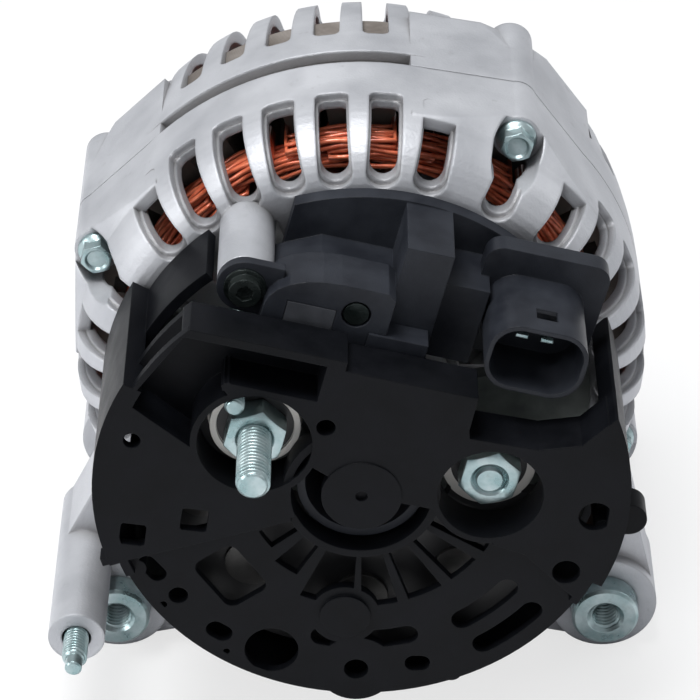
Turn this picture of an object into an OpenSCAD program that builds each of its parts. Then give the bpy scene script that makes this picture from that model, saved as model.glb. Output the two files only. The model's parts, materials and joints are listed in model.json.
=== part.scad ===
// Vehicle alternator: vented die-cast brackets, claw-pole rotor, three-phase stator, rectifier,
// regulator with brushes, and a moulded rear cover. The shaft lies along Y with the pulley at +Y.
// Stations along the shaft are counted from the rear face of the cover towards the pulley.

/* [Brackets] */
// Thickness of the bracket wall over the core
bracket_wall = 3; // [2.5:0.25:4]
// From the rear face of the cover to the machined face of the rear bracket
cover_depth = 44; // [43.5:0.5:47]
// From the machined face of the rear bracket to the seam between the brackets
rear_depth = 36; // [35:0.5:40]
// From the seam to the front face of the front bracket
front_depth = 48; // [47:0.5:54]
// Axial depth of the rounded shoulder of the rear bracket
rear_shoulder_d = 18; // [16:0.5:20]
// Axial depth of the long shoulder of the front bracket
front_shoulder_d = 44; // [36:1:45]
// Radial reach of the shoulder on each bracket
shoulder_w = 12.5; // [11:0.5:14]
// Thickness of the end walls
end_wall = 4.5; // [3.5:0.25:5]
// Number of windows cast in each end wall
window_count = 10; // [8:1:12]
// Width of the spokes between those windows
spoke_w = 8; // [6:0.5:10]

/* [Vents] */
// Number of vent slots round the rear shoulder
rear_vents = 34; // [30:1:36]
// Angle of the first rear vent
rear_vent_at = 85.2; // [80:0.1:90]
// Width of the opening in each rear vent
rear_vent_w = 6.6; // [5:0.2:6.8]
// Width of the rounded well round each rear vent
rear_well_w = 8; // [7.4:0.1:8.4]
// Depth of the well round each rear vent
rear_well_d = 1.9; // [1:0.1:2.4]
// Axial length of a rear vent, from the machined face
rear_vent_len = 21; // [18:0.5:23]
// Number of vent slots round the front shoulder
front_vents = 36; // [32:1:38]
// Angle of the first front vent
front_vent_at = 87; // [80:0.5:90]
// Width of a front vent
front_vent_w = 6.4; // [4.5:0.1:6.8]
// Width of the plain band between the seam and the front vents
front_band = 15; // [10:0.5:16]
// Radius of the corners at the outer end of each vent
vent_corner = 1.8; // [1:0.1:2.4]
// Width of the open groove over the core, between the brackets
groove_w = 5.5; // [3:0.5:7]
// Width of the fine line at the seam
seam_relief = 0.35; // [0:0.05:0.6]

/* [Through bolts] */
// Radius of the bolt shank
bolt_r = 2.5; // [2.25:0.05:2.6]
// Width across the flats of the bolt head
bolt_af = 7; // [6.5:0.25:8]
// Height of the bolt head
bolt_head_h = 5; // [4:0.5:6]
// Distance of the bolt seats from the machined face
bolt_seat_d = 19; // [17:0.5:21]
// Radius of the column round each bolt
bolt_boss_r = 5.6; // [5.2:0.1:6.2]

/* [Mounting lugs] */
// Sideways distance of each lug from the shaft
lug_x = 60.3; // [58:0.1:62]
// Depth of the lugs below the shaft
lug_drop = 59.5; // [59:0.25:62]
// Radius of the lug bosses
lug_r = 13; // [12.5:0.25:14]
// Distance of the rear lug face behind the machined face
rear_lug_proud = 7; // [5:0.5:9]
// Length of the rear lugs
rear_lug_len = 21; // [19:0.5:24]
// Length of the front lugs
front_lug_len = 20; // [16:0.5:24]
// Radius of the plain hole in each front lug
front_hole_r = 4.15; // [4.05:0.05:5.2]
// Radius of the threaded bush in each rear lug
bush_r = 8.2; // [7.5:0.1:9]
// Length of the threaded bush
bush_len = 24; // [20:0.5:26]
// How far the bush stands proud of the rear lug
bush_proud = 6; // [5:0.5:8]
// Radius of the threaded bore of the bush
bush_bore_r = 3.4; // [3:0.1:4.2]

/* [Side tube] */
// Sideways distance of the cast tube from the shaft
tube_x = 67.7; // [67:0.1:69]
// Depth of the cast tube below the shaft
tube_drop = 44.5; // [43:0.25:45.5]
// Outer radius of the cast tube
tube_r = 6.75; // [6:0.25:7.5]
// Length of the cast tube
tube_len = 54; // [50:1:56]
// Distance of the rear end of the tube behind the machined face
tube_proud = 40; // [36:0.5:43]
// Radius of the stud in the tube
side_stud_r = 3; // [2.5:0.1:3.2]
// Length of the stud that stands out of the tube
side_stud_out = 12; // [8:0.5:16]

/* [Stator] */
// Outer radius of the laminated core
core_r = 66.5; // [66:0.25:67]
// Radial depth of the stator core
core_t = 17.1; // [16.8:0.1:17.4]
// Length of the core
core_len = 32; // [30:0.5:34]
// Length of the core that sits in the rear bracket
core_in_rear = 6; // [5:0.5:8]
// Number of winding slots, a multiple of six
slot_count = 36; // [36:36:36]
// Width of a winding slot
slot_w = 4.4; // [4.2:0.1:4.8]
// Thickness of the yoke behind the slots
yoke_t = 5; // [4.5:0.25:6]
// Height of the winding heads beyond the core
head_h = 13; // [11:0.5:13.5]

/* [Rotor] */
// Air gap between the claw poles and the stator
air_gap = 0.4; // [0.3:0.05:0.8]
// Number of claws on each pole piece
claws = 6; // [6:1:6]
// Length of the rotor over both pole pieces
rotor_len = 48; // [46:0.5:50]
// Thickness of each pole disc
pole_disc = 12; // [10:0.5:13]
// Radial thickness of the claws
claw_t = 8.5; // [7:0.5:9]
// Width of a claw at its root
claw_root_w = 21; // [18:0.5:22]
// Width of a claw at its tip
claw_tip_w = 9; // [7:0.5:11]
// Radius of the pole core inside the field coil
pole_core_r = 19; // [18:0.5:21]
// From the outside of the claw poles down to the field coil
coil_inset = 10.5; // [10:0.5:14]
// From the outside of the claw poles in to the edge of the fans
fan_inset = 3; // [1:0.5:7]
// Depth of the fan blades
fan_blade_h = 7.5; // [6:0.25:8]
// Number of blades on each fan
fan_blades = 11; // [9:1:13]

/* [Shaft and bearings] */
// Radius of the shaft in the bearings and the pulley
shaft_r = 8.5; // [8:0.1:8.7]
// Radius of the shaft inside the slip rings
tail_r = 5; // [4.5:0.1:5.4]
// Outer radius of the rear bearing
rear_bearing_r = 17.5; // [17:0.25:18]
// Width of the rear bearing
rear_bearing_w = 10; // [9:0.5:11]
// Radius of the balls of the rear bearing
rear_ball_r = 2.38; // [2.2:0.02:2.5]
// Number of balls in the rear bearing
rear_ball_count = 10; // [8:1:11]
// Outer radius of the front bearing
front_bearing_r = 23.5; // [23:0.25:24]
// Width of the front bearing
front_bearing_w = 14; // [13:0.5:14]
// Radius of the balls of the front bearing
front_ball_r = 4.36; // [4:0.02:4.5]
// Number of balls in the front bearing
front_ball_count = 7; // [6:1:8]

/* [Pulley] */
// Radius of the pulley flanges
pulley_r = 28; // [26:0.5:31]
// Number of belt grooves
grooves = 6; // [5:1:7]
// Distance between belt grooves
groove_pitch = 3.56; // [3.56:0.01:3.6]
// Depth of the belt grooves
groove_d = 2.9; // [2.5:0.1:3.2]
// Width of each pulley flange
flange_w = 2.3; // [2:0.1:3]
// Width across the flats of the pulley nut
pulley_nut_af = 24; // [22:0.5:27]
// Height of the pulley nut
pulley_nut_h = 10; // [8:0.5:12]

/* [Slip rings and brushes] */
// Radius of the slip rings
slip_ring_r = 7.75; // [7.3:0.05:8]
// Width of each slip ring
slip_ring_w = 7; // [6.5:0.1:7.5]
// Distance between the centres of the slip rings
slip_ring_gap = 11; // [10:0.25:12]
// Station of the centre between the slip rings
slip_ring_y = 23; // [22:0.25:24]
// Width of a brush
brush_w = 5; // [4.4:0.1:5.4]
// Length of a brush along the shaft
brush_l = 6.4; // [5.6:0.1:6.6]
// Height of a new brush
brush_h = 17; // [15:0.5:18]
// Inner radius of the tube round the slip rings
guard_r = 13; // [12.5:0.1:13.2]

/* [Regulator] */
// Turn of the regulator and the panel round the shaft
reg_tilt = 14; // [12:0.5:16]
// Station of the front of the regulator block
reg_y = 14; // [13.5:0.25:15]
// Width of the connector shell
plug_w = 23.2; // [22:0.2:24]
// Height of the connector shell
plug_h = 17.4; // [16:0.2:18.4]
// Wall of the connector shell
plug_wall = 1.1; // [1:0.1:1.6]
// Station of the mouth of the connector
plug_y = 9; // [7:0.5:11]
// Number of contacts in the connector
pin_count = 2; // [2:1:3]

/* [Rectifier] */
// Thickness of each heat sink plate
plate_t = 4; // [3:0.25:4]
// Station of the rear face of the positive plate
plus_y = 12.5; // [12.5:0.1:13]
// Radius of a pressed diode
diode_r = 6.4; // [5.8:0.1:6.6]
// Radius of the circle of the diodes
diode_circle_r = 38; // [37:0.25:38.5]

/* [Terminals] */
// Radius of the threaded terminal studs
stud_r = 4; // [3.5:0.1:4.2]
// Width across the flats of the terminal nuts
stud_nut_af = 13; // [12:0.5:14]
// Height of the terminal nuts
stud_nut_h = 6.5; // [5.5:0.25:7]
// Length of the main stud that stands beyond its nut
main_stud_out = 17.5; // [14:0.5:22]
// Height of the boss under the main nut
main_boss_h = 5; // [4:0.25:6]

/* [Rear cover] */
// Radius of the lower part of the cover
cover_r = 59.6; // [59:0.1:60.2]
// Radius of the side sectors of the cover
sector_r = 62; // [61.4:0.1:62.6]
// Wall of the cover
cover_t = 2.2; // [1.8:0.1:2.4]
// Step from the panel down to the lower part
cover_step = 2; // [1.5:0.1:2.4]
// Depth of the pockets in the cover
pocket_d = 12; // [10:0.25:12]
// Width of the round-ended slots in the lower part of the cover
cover_slot_w = 5.2; // [4:0.1:5.4]
// Radius of the well round each terminal
well_r = 13.2; // [12.8:0.1:13.8]
// Radius of the cap over the end of the shaft
cap_r = 9.3; // [8.5:0.1:10]
// Radius of the opening round that cap
hub_hole_r = 16.3; // [15.8:0.1:16.8]

/* [Fits] */
// Radial clearance of pressed and clamped pieces
press = 0.02; // [0.01:0.01:0.04]
// Radial clearance of bolts and screws in their holes
play = 0.25; // [0.15:0.05:0.35]
// Radial clearance of the sliding bushes
slide = 0.05; // [0.03:0.01:0.08]
// Radial clearance of the bearing balls in their tracks
running = 0.03; // [0.02:0.01:0.05]
// Clearance between a brush and its guide, and between a brush and its slip ring
brush_gap = 0.25; // [0.2:0.05:0.3]

/* [Hidden] */
$fn = 64;

// Stations along the shaft
face_y = cover_depth;
seam_y = face_y + rear_depth;
front_y = seam_y + front_depth;
core_y = seam_y - core_in_rear;
core_end_y = core_y + core_len;
rotor_y = core_y + core_len / 2 - rotor_len / 2;
rotor_end_y = rotor_y + rotor_len;
fan_t = 1.2;
rear_bearing_y = face_y - 1;
front_hub_proud = 5.5;
front_bearing_y = front_y + front_hub_proud - 1 - front_bearing_w;
pulley_w = grooves * groove_pitch + 2 * flange_w;
pulley_y = front_y + front_hub_proud + 2.5;
belt_y = pulley_y + pulley_w / 2;
nut_y = pulley_y + pulley_w;
tail_y = slip_ring_y - 13;

// Radii of the brackets
body_r = core_r + bracket_wall;
bolt_circle_r = core_r + bolt_r;
bore_r = core_r - core_t;
slot_r = core_r - yoke_t;
rotor_r = bore_r - air_gap;
coil_r = rotor_r - coil_inset;
fan_r = rotor_r - fan_inset;
flat_r = body_r - shoulder_w;
wall_in_r = core_r - 1;
inner_flat_r = flat_r - end_wall + 1;
rear_hub_r = rear_bearing_r + 1 + 3.5;
front_hub_r = front_bearing_r + 3.3;
front_base_r = front_bearing_r + 10.5;
retainer_r = front_bearing_r + 7;
bolt_angles = [58, 156.5, 238, 336.5];
bolt_seat_y = face_y + bolt_seat_d;
bolt_boss_end_y = front_y - 18.5;
bolt_end_y = bolt_boss_end_y - 3;
boss_out_r = bolt_circle_r + bolt_boss_r;
bulge_angle = acos((body_r - bolt_boss_r) / bolt_circle_r);
bulge_sink = 0.15;
vent_pitch = 360 / rear_vents;
vent_clear = 0.8 * vent_pitch;
// A rear vent that would run into a bolt is left out, and one opens under each bolt instead
rear_vent_angles = concat([for (i = [0 : rear_vents - 1])
    let (a = (rear_vent_at + i * vent_pitch) % 360)
    if (min([for (b = bolt_angles) abs(a - b)]) > vent_clear) a], bolt_angles);
web_top = 27;
web_x = sqrt(body_r * body_r - web_top * web_top);
minus_plate_r = 54.8;
reg_flange_r = 56;

// Places of the terminals, the regulator post and the rectifier posts, across the shaft
main_at = [-24.4, 14.4];
second_at = [29.7, 0.1];
post_points = [[-49.5, 4], [-1.2, -51.5], [46.7, -21.5]];
post_r = 3.6;
screw_r = 1.9;
plus_diode_angles = [192, 227, 270, 308];
minus_diode_angles = [200, 240, 285, 322];
plate_r = 54;
cover_stud_at = [-28.8, 24.3];
cover_stud_r = 2.35;
minus_y = face_y - plate_t;
plus_end_y = plus_y + plate_t;
frame_y = 22;
frame_t = 5;
ear_at = [-36.7, 37.7];
ear_y = 18;
ear_t = 2.5;
ear_post_r = 6.5;
post_bore_r = 2;
plug_at = [31.1, 39.4];
main_nut_y = plus_y - main_boss_h - stud_nut_h + 0.8;
stud_shank_r = stud_r - 0.35;
side_shank_r = side_stud_r - 0.35;
brush_top = slip_ring_r + brush_gap + brush_h;
guide_top = brush_top + 8;
stem_w = brush_w + 9;
stem_y = pocket_d + 1.3;
stem_len = slip_ring_y + 14 - stem_y;
guard_wall = 2;
guard_y = 5;
guard_end_y = face_y - 4;

cast = [0.80, 0.81, 0.83];
steel = [0.62, 0.64, 0.66];
zinc = [0.66, 0.73, 0.74];
copper = [0.78, 0.36, 0.22];
moulding = [0.12, 0.12, 0.14];
slate = [0.27, 0.29, 0.33];

module turned() rotate([-90, 0, 0]) rotate_extrude() children();
module ring(r1, r2, y1, y2) turned() translate([r1, y1]) square([r2 - r1, y2 - y1]);
module disc(r, y1, y2) translate([0, y1, 0]) rotate([-90, 0, 0]) cylinder(r = r, h = y2 - y1);
module bar(at, r, y1, y2) translate([at[0], 0, at[1]]) disc(r, y1, y2);
module prism(y1, y2) translate([0, y2, 0]) rotate([90, 0, 0]) linear_extrude(y2 - y1) children();
module hex(at, af, y1, y2) prism(y1, y2) translate(at) rotate(15) circle(r = af / 2 / cos(30), $fn = 6);
module turn(angle) rotate([0, -angle, 0]) children();
module around(n, first = 0) for (i = [0 : n - 1]) turn(first + 360 * i / n) children();
module tilted() rotate([0, reg_tilt, 0]) children();
module oval(w, h, r) {
    square([w - 2 * r, h], center = true);
    square([w, h - 2 * r], center = true);
    for (sx = [-1, 1], sz = [-1, 1]) translate([sx * (w / 2 - r), sz * (h / 2 - r)]) circle(r = r);
}
module sector(r1, r2, a1, a2) {
    far = r2 / cos((a2 - a1) / 4) + 1;
    intersection() {
        difference() { circle(r = r2); circle(r = r1); }
        polygon(concat([[0, 0]], [for (i = [0 : 4]) far * [cos(a1 + (a2 - a1) * i / 4), sin(a1 + (a2 - a1) * i / 4)]]));
    }
}
module wide_sector(r1, r2, a1, a2) {
    middle = (a1 + a2) / 2;
    sector(r1, r2, a1, middle + 1);
    sector(r1, r2, middle - 1, a2);
}
function polar(r, a) = [r * cos(a), r * sin(a)];
function unturned(p) = [p[0] * cos(reg_tilt) + p[1] * sin(reg_tilt), p[1] * cos(reg_tilt) - p[0] * sin(reg_tilt)];
function shoulder(r0, y0, rx, ry, steps = 11) = [for (i = [0 : steps]) [r0 + rx * sin(90 * i / steps), y0 - ry * cos(90 * i / steps)]];
function reversed(list) = [for (i = [len(list) - 1 : -1 : 0]) list[i]];

// A slot cut through a shoulder: a round inner end at radius r1, an outer end with round corners at y2
module vent(width, r1, y1, y2) {
    e = width / 2;
    bar([r1 + e, 0], e, y1, y2 - vent_corner);
    translate([r1 + e, 0, 0]) rotate([90, 0, 90]) linear_extrude(body_r + 6 - r1 - e) {
        translate([y1, -e]) square([y2 - vent_corner - y1, width]);
        translate([y1, vent_corner - e]) square([y2 - y1, width - 2 * vent_corner]);
        for (s = [-1, 1]) translate([y2 - vent_corner, s * (e - vent_corner)]) circle(r = vent_corner);
    }
}

// Cast windows in an end wall, with parallel-sided spokes between them
module windows(r1, r2, y1, y2) prism(y1, y2) difference() {
    circle(r = r2);
    circle(r = r1);
    for (i = [0 : window_count - 1]) rotate(360 * i / window_count) translate([0, -spoke_w / 2]) square([r2 + 1, spoke_w]);
}

module lug_web(y1, y2, clear_r) prism(y1, y2) difference() {
    polygon([[lug_x + lug_r, -lug_drop], [web_x + 1.5, -web_top], [web_x - 12, -web_top], [18, -core_r + 2], [26, -body_r + 4], [lug_x - 2, -lug_drop - lug_r + 0.2], [lug_x, -lug_drop]]);
    circle(r = clear_r);
}

// The casting swells out to an upper through bolt along flats that touch both the body and the bolt's boss
module bolt_bulges(profile) for (a = bolt_angles) if (a < 180) intersection() {
    prism(profile[0][1], profile[len(profile) - 1][1]) difference() {
        polygon([[0, 0], polar(body_r - bulge_sink, a - bulge_angle),
            polar(bolt_circle_r, a) + polar(bolt_boss_r - bulge_sink, a - bulge_angle),
            polar(bolt_circle_r, a) + polar(bolt_boss_r - bulge_sink, a + bulge_angle),
            polar(body_r - bulge_sink, a + bulge_angle)]);
        circle(r = wall_in_r + 0.5);
    }
    turned() polygon(profile);
}

// Rear bracket: a bowl with vented shoulder, bearing hub, lugs, bolt seats and the cast side tube
module rear_bracket() {
    shell = concat([[rear_hub_r - 1, face_y]], shoulder(flat_r, face_y + rear_shoulder_d, shoulder_w, rear_shoulder_d),
        [[body_r, seam_y], [core_r + press, seam_y], [core_r + press, core_y], [wall_in_r, core_y]],
        reversed(shoulder(inner_flat_r, face_y + rear_shoulder_d, wall_in_r - inner_flat_r, rear_shoulder_d - end_wall)),
        [[rear_hub_r - 1, face_y + end_wall]]);
    well_floor = concat([[0, face_y + rear_well_d]],
        shoulder(flat_r, face_y + rear_shoulder_d, shoulder_w - rear_well_d, rear_shoulder_d - rear_well_d),
        [[body_r - rear_well_d, seam_y], [0, seam_y]]);
    post = unturned(ear_at);
    color(cast) difference() {
        union() {
            difference() {
                turned() polygon(shell);
                windows(rear_hub_r + 2, flat_r - 6, face_y - 1, face_y + end_wall + 1);
                for (a = rear_vent_angles) turn(a) vent(rear_vent_w, flat_r + 0.2, face_y - 1, face_y + rear_vent_len);
                difference() {
                    for (a = rear_vent_angles) turn(a) vent(rear_well_w, flat_r - 1, face_y - 1, face_y + rear_vent_len + 0.3);
                    turned() polygon(well_floor);
                }
            }
            ring(rear_bearing_r + 1, rear_hub_r, rear_bearing_y - 1.5, rear_bearing_y + rear_bearing_w + 2);
            for (a = bolt_angles) bar(polar(bolt_circle_r, a), bolt_boss_r, bolt_seat_y, seam_y);
            bolt_bulges([[0, bolt_seat_y - 6], [body_r - 0.5, bolt_seat_y - 6], [boss_out_r - 0.2, bolt_seat_y + 2], [boss_out_r - 0.2, seam_y], [0, seam_y]]);
            for (m = [0, 1]) mirror([m, 0, 0]) {
                bar([lug_x, -lug_drop], lug_r, face_y - rear_lug_proud, face_y - rear_lug_proud + rear_lug_len);
                lug_web(face_y - 4, face_y + 14, sector_r + 1);
            }
            bar([-tube_x, -tube_drop], tube_r, face_y - tube_proud, face_y - tube_proud + tube_len);
            prism(face_y - 6, face_y - tube_proud + tube_len) polygon([[-tube_x - tube_r, -tube_drop], [-web_x - 1.5, -web_top],
                [-web_x + 4, -web_top], [-tube_x + 6, -tube_drop - 4], [-lug_x - 4, -lug_drop]]);
            bar(post, ear_post_r, ear_y + ear_t, face_y + 1);
            for (p = post_points) bar(p, post_r + 1.5, face_y, face_y + end_wall + 3);
            bar(cover_stud_at, cover_stud_r + 3, face_y, face_y + end_wall + 3);
        }
        disc(rear_bearing_r + 1 + press, rear_bearing_y - 2, rear_bearing_y + rear_bearing_w + 0.5);
        disc(rear_bearing_r - 1.5, face_y - 10, face_y + 20);
        for (a = bolt_angles) bar(polar(bolt_circle_r, a), bolt_r + play, face_y, seam_y + 1);
        for (a = bolt_angles) bar(polar(bolt_circle_r, a), bolt_boss_r + 0.8, face_y - 20, bolt_seat_y);
        for (s = [-1, 1]) bar([s * lug_x, -lug_drop], bush_r + slide, face_y - 20, face_y + 40);
        bar([-tube_x, -tube_drop], side_shank_r + press, face_y - tube_proud - 1, face_y + 10);
        bar([-tube_x, -tube_drop], side_stud_r + 0.5, face_y - tube_proud - 1, face_y - tube_proud + 9);
        bar(post, post_bore_r + press, ear_y, face_y + 8);
        for (p = post_points) bar(p, screw_r + press, face_y - 1, face_y + 20);
        bar(cover_stud_at, cover_stud_r + press, face_y - 1, face_y + 20);
        prism(core_y, seam_y + 1) circle(r = core_r + press);
    }
}

// Front bracket: a bowl with open ribs over its shoulder, bearing hub and two plain lugs
module front_bracket() {
    out = reversed(shoulder(flat_r, 0, shoulder_w, front_shoulder_d));
    in = shoulder(inner_flat_r, 0, wall_in_r - inner_flat_r, front_y - end_wall - core_end_y);
    turn_y = front_y - front_shoulder_d;
    shell = concat([[core_r + press, seam_y], [body_r, seam_y]], [for (p = out) [p[0], turn_y - p[1]]],
        [[front_hub_r - 1, front_y], [front_hub_r - 1, front_y - end_wall]], [for (p = in) [p[0], core_end_y - p[1]]],
        [[core_r + press, core_end_y]]);
    hub_y = front_bearing_y - 0.5;
    color(cast) difference() {
        union() {
            difference() {
                turned() polygon(shell);
                windows(front_base_r + 1.5, flat_r - 8, front_y - end_wall - 1, front_y + 1);
                mirror([0, 1, 0]) around(front_vents, front_vent_at) vent(front_vent_w, flat_r - 4, -front_y - 1, -seam_y - front_band);
                prism(seam_y - 1, seam_y + groove_w) wide_sector(wall_in_r, body_r + 2, 70, 143.5);
            }
            ring(front_bearing_r, front_hub_r, hub_y, front_y + front_hub_proud);
            ring(front_bearing_r, front_base_r, hub_y, front_y);
            for (a = bolt_angles) bar(polar(bolt_circle_r, a), bolt_boss_r, seam_y, bolt_boss_end_y);
            bolt_bulges([[0, seam_y], [boss_out_r - 0.2, seam_y], [boss_out_r - 0.2, seam_y + 12], [boss_out_r - 3, bolt_boss_end_y - 2], [0, bolt_boss_end_y - 2]]);
            for (m = [0, 1]) mirror([m, 0, 0]) {
                bar([lug_x, -lug_drop], lug_r, front_y - front_lug_len, front_y);
                lug_web(front_y - front_lug_len + 2, front_y - 4, wall_in_r - 3);
            }
        }
        disc(core_r + press, seam_y - 1, core_end_y);
        ring(body_r - 0.8, boss_out_r + 1, seam_y - 1, seam_y + seam_relief);
        disc(front_bearing_r + press, hub_y - 1, front_y + front_hub_proud - 1);
        disc(front_bearing_r - 2.5, hub_y - 1, front_y + 20);
        for (i = [0 : 3]) bar(polar(retainer_r, 45 + 90 * i), 2 + play, hub_y - 1, front_y + 1);
        for (a = bolt_angles) bar(polar(bolt_circle_r, a), bolt_r + press, seam_y - 1, bolt_end_y + 1);
        for (s = [-1, 1]) bar([s * lug_x, -lug_drop], front_hole_r, front_y - 40, front_y + 1);
    }
}

module through_bolts() color(zinc) for (a = bolt_angles) {
    at = polar(bolt_circle_r, a);
    bar(at, bolt_r, bolt_seat_y - 0.01, bolt_end_y);
    bar(at, bolt_af * 0.68, bolt_seat_y - 1.2, bolt_seat_y);
    difference() {
        hex(at, bolt_af, bolt_seat_y - bolt_head_h, bolt_seat_y - 1);
        bar(at, bolt_af * 0.36, bolt_seat_y - bolt_head_h - 1, bolt_seat_y - bolt_head_h + 0.8);
    }
}

module stator_core() color(steel) prism(core_y, core_end_y) difference() {
    circle(r = core_r);
    circle(r = bore_r);
    for (i = [0 : slot_count - 1]) rotate(360 * i / slot_count) {
        translate([bore_r - 1, -1.2]) square([4, 2.4]);
        translate([bore_r + 1.6, -slot_w / 2]) square([slot_r - bore_r - 1.6, slot_w]);
    }
    for (a = bolt_angles) translate(polar(bolt_circle_r, a)) circle(r = bolt_r + play + 0.3);
}

// One phase: bars in every third slot, joined in pairs by winding heads at both ends
module phase_winding(phase) {
    layer_t = 2.6;
    r1 = bore_r + 1.9 + phase * (layer_t + 0.3);
    pitch = 360 / slot_count;
    bars = slot_count / 3;
    bar_w = slot_w - 0.6;
    rise = head_h / 3;
    color(copper) {
        for (j = [0 : bars - 1]) turn(pitch * (phase + 3 * j)) {
            prism(core_y, core_end_y) translate([bore_r + 1.9, -bar_w / 2]) square([slot_r - bore_r - 2.2, bar_w]);
            prism(core_y - rise - 1, core_end_y + rise + 1) translate([r1, -bar_w / 2]) square([layer_t, bar_w]);
        }
        for (j = [0 : bars - 1]) {
            rear = j % 2 == 0;
            y = rear ? core_y - head_h : core_end_y + rise;
            a = pitch * (phase + 3 * j);
            prism(y, y + head_h - rise) sector(r1, r1 + layer_t, a - 2.1, a + 3 * pitch + 2.1);
        }
    }
}

module claw_pole() {
    pole_y = 0;
    arm_r = rotor_r - claw_t;
    difference() {
        union() {
            disc(27, pole_y, pole_disc);
            disc(pole_core_r, pole_y, rotor_len / 2);
            prism(pole_y, pole_disc) intersection() {
                circle(r = rotor_r);
                for (i = [0 : claws - 1]) rotate(360 * i / claws) polygon([[0, -14], [rotor_r + 2, -claw_root_w / 2], [rotor_r + 2, claw_root_w / 2], [0, 14]]);
            }
            intersection() {
                around(claws) rotate([0, 90, 0]) linear_extrude(rotor_r + 2) polygon([[-claw_root_w / 2, 0], [claw_root_w / 2, 0],
                    [claw_tip_w / 2, rotor_len - pole_disc / 2], [-claw_tip_w / 2, rotor_len - pole_disc / 2]]);
                turned() polygon([[arm_r - 3, 0], [rotor_r, 0], [rotor_r, rotor_len], [rotor_r - claw_t * 0.45, rotor_len], [arm_r, pole_disc + 3], [arm_r - 1, pole_disc]]);
            }
        }
        disc(shaft_r + 0.5 + press, -1, rotor_len);
    }
}
module claw_pole_rear() color(steel) translate([0, rotor_y, 0]) claw_pole();
module claw_pole_front() color(steel) translate([0, rotor_end_y, 0]) rotate([0, 180 / claws, 0]) mirror([0, 1, 0]) claw_pole();

module coil_bobbin() {
    y1 = rotor_y + pole_disc;
    y2 = rotor_end_y - pole_disc;
    color([0.75, 0.72, 0.62]) turned() polygon([[pole_core_r + press, y1], [coil_r, y1], [coil_r, y1 + 1], [pole_core_r + 1.2, y1 + 1],
        [pole_core_r + 1.2, y2 - 1], [coil_r, y2 - 1], [coil_r, y2], [pole_core_r + press, y2]]);
}
module field_coil() color(copper) ring(pole_core_r + 1.2 + press, coil_r - 0.5, rotor_y + pole_disc + 1, rotor_end_y - pole_disc - 1);

// A pressed fan: a disc with curved blades; the blades stand towards the rear of the disc
module fan(hub_r, blade_x) {
    arc_r = 22;
    difference() {
        disc(fan_r, 0, fan_t);
        disc(hub_r, -1, fan_t + 1);
        around(6, 30) bar([shaft_r + 8.5, 0], 3, -1, fan_t + 1);
    }
    around(fan_blades) intersection() {
        translate([fan_r - 1, 0, 3 - arc_r]) ring(arc_r - 1.4, arc_r, -fan_blade_h, 0.6);
        translate([blade_x, -fan_blade_h, 3 - arc_r]) cube([fan_r - 1 - blade_x, fan_blade_h + 0.6, arc_r]);
    }
}
module rear_fan() color(steel) translate([0, rotor_y - fan_t, 0]) fan(shaft_r + 2 + press, 27);
module front_fan() color(steel) translate([0, rotor_end_y + fan_t, 0]) mirror([0, 1, 0]) fan(shaft_r + press, front_base_r + 2);

module rotor_shaft() {
    shoulder_r = shaft_r + 2;
    step_y = rear_bearing_y - 1;
    color(steel) turned() polygon([[0, tail_y], [tail_r - 0.5, tail_y], [tail_r, tail_y + 0.5], [tail_r, step_y - 2],
        [shaft_r, step_y - 2], [shaft_r, rear_bearing_y + rear_bearing_w], [shoulder_r, rear_bearing_y + rear_bearing_w],
        [shoulder_r, rotor_y], [shaft_r + 0.5, rotor_y], [shaft_r + 0.5, rotor_end_y], [shaft_r, rotor_end_y], [shaft_r, nut_y - 1],
        [shaft_r - 0.5, nut_y - 1], [shaft_r - 0.5, nut_y + pulley_nut_h + 1], [shaft_r - 2, nut_y + pulley_nut_h + 2.5], [0, nut_y + pulley_nut_h + 2.5]]);
}

ring_seat_r = slip_ring_r - 1.2;
module slip_ring_carrier() color(moulding) turned() polygon([[tail_r + press, tail_y + 0.5], [ring_seat_r, tail_y + 0.5],
    [ring_seat_r, rear_bearing_y - 6], [slip_ring_r + 1, rear_bearing_y - 6], [slip_ring_r + 1, rear_bearing_y - 3.5], [tail_r + press, rear_bearing_y - 3.5]]);
module slip_rings() color(copper) for (s = [-1, 1]) {
    y = slip_ring_y + s * slip_ring_gap / 2;
    ring(ring_seat_r + press, slip_ring_r, y - slip_ring_w / 2, y + slip_ring_w / 2);
}

// Races of a deep groove bearing; the ball circle lies midway between the bore and the outside
function ball_circle(outer_r) = (outer_r + shaft_r) / 2;
module race(r1, r2, outer_r, ball_r, y, w) difference() {
    ring(r1, r2, y, y + w);
    turned() translate([ball_circle(outer_r), y + w / 2]) circle(r = ball_r + running);
}
function race_in(outer_r, ball_r) = ball_circle(outer_r) - ball_r * 0.6;
function race_out(outer_r, ball_r) = ball_circle(outer_r) + ball_r * 0.6;
module balls(outer_r, ball_r, count, y, w) around(count) translate([ball_circle(outer_r), y + w / 2, 0]) sphere(r = ball_r, $fn = 48);
module ball_cage(outer_r, ball_r, count, y, w) difference() {
    ring(ball_circle(outer_r) - ball_r * 0.35, ball_circle(outer_r) + ball_r * 0.35, y + w / 2 - ball_r - 0.9, y + w / 2 + ball_r + 0.9);
    around(count) translate([ball_circle(outer_r) - outer_r / 2, y + w / 2, 0]) rotate([0, 90, 0]) cylinder(r = ball_r + 0.05, h = outer_r);
}
module rear_bearing_outer() color(steel) race(race_out(rear_bearing_r, rear_ball_r), rear_bearing_r, rear_bearing_r, rear_ball_r, rear_bearing_y, rear_bearing_w);
module rear_bearing_inner() color(steel) race(shaft_r + press, race_in(rear_bearing_r, rear_ball_r), rear_bearing_r, rear_ball_r, rear_bearing_y, rear_bearing_w);
module rear_balls() color(steel) balls(rear_bearing_r, rear_ball_r, rear_ball_count, rear_bearing_y, rear_bearing_w);
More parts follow.
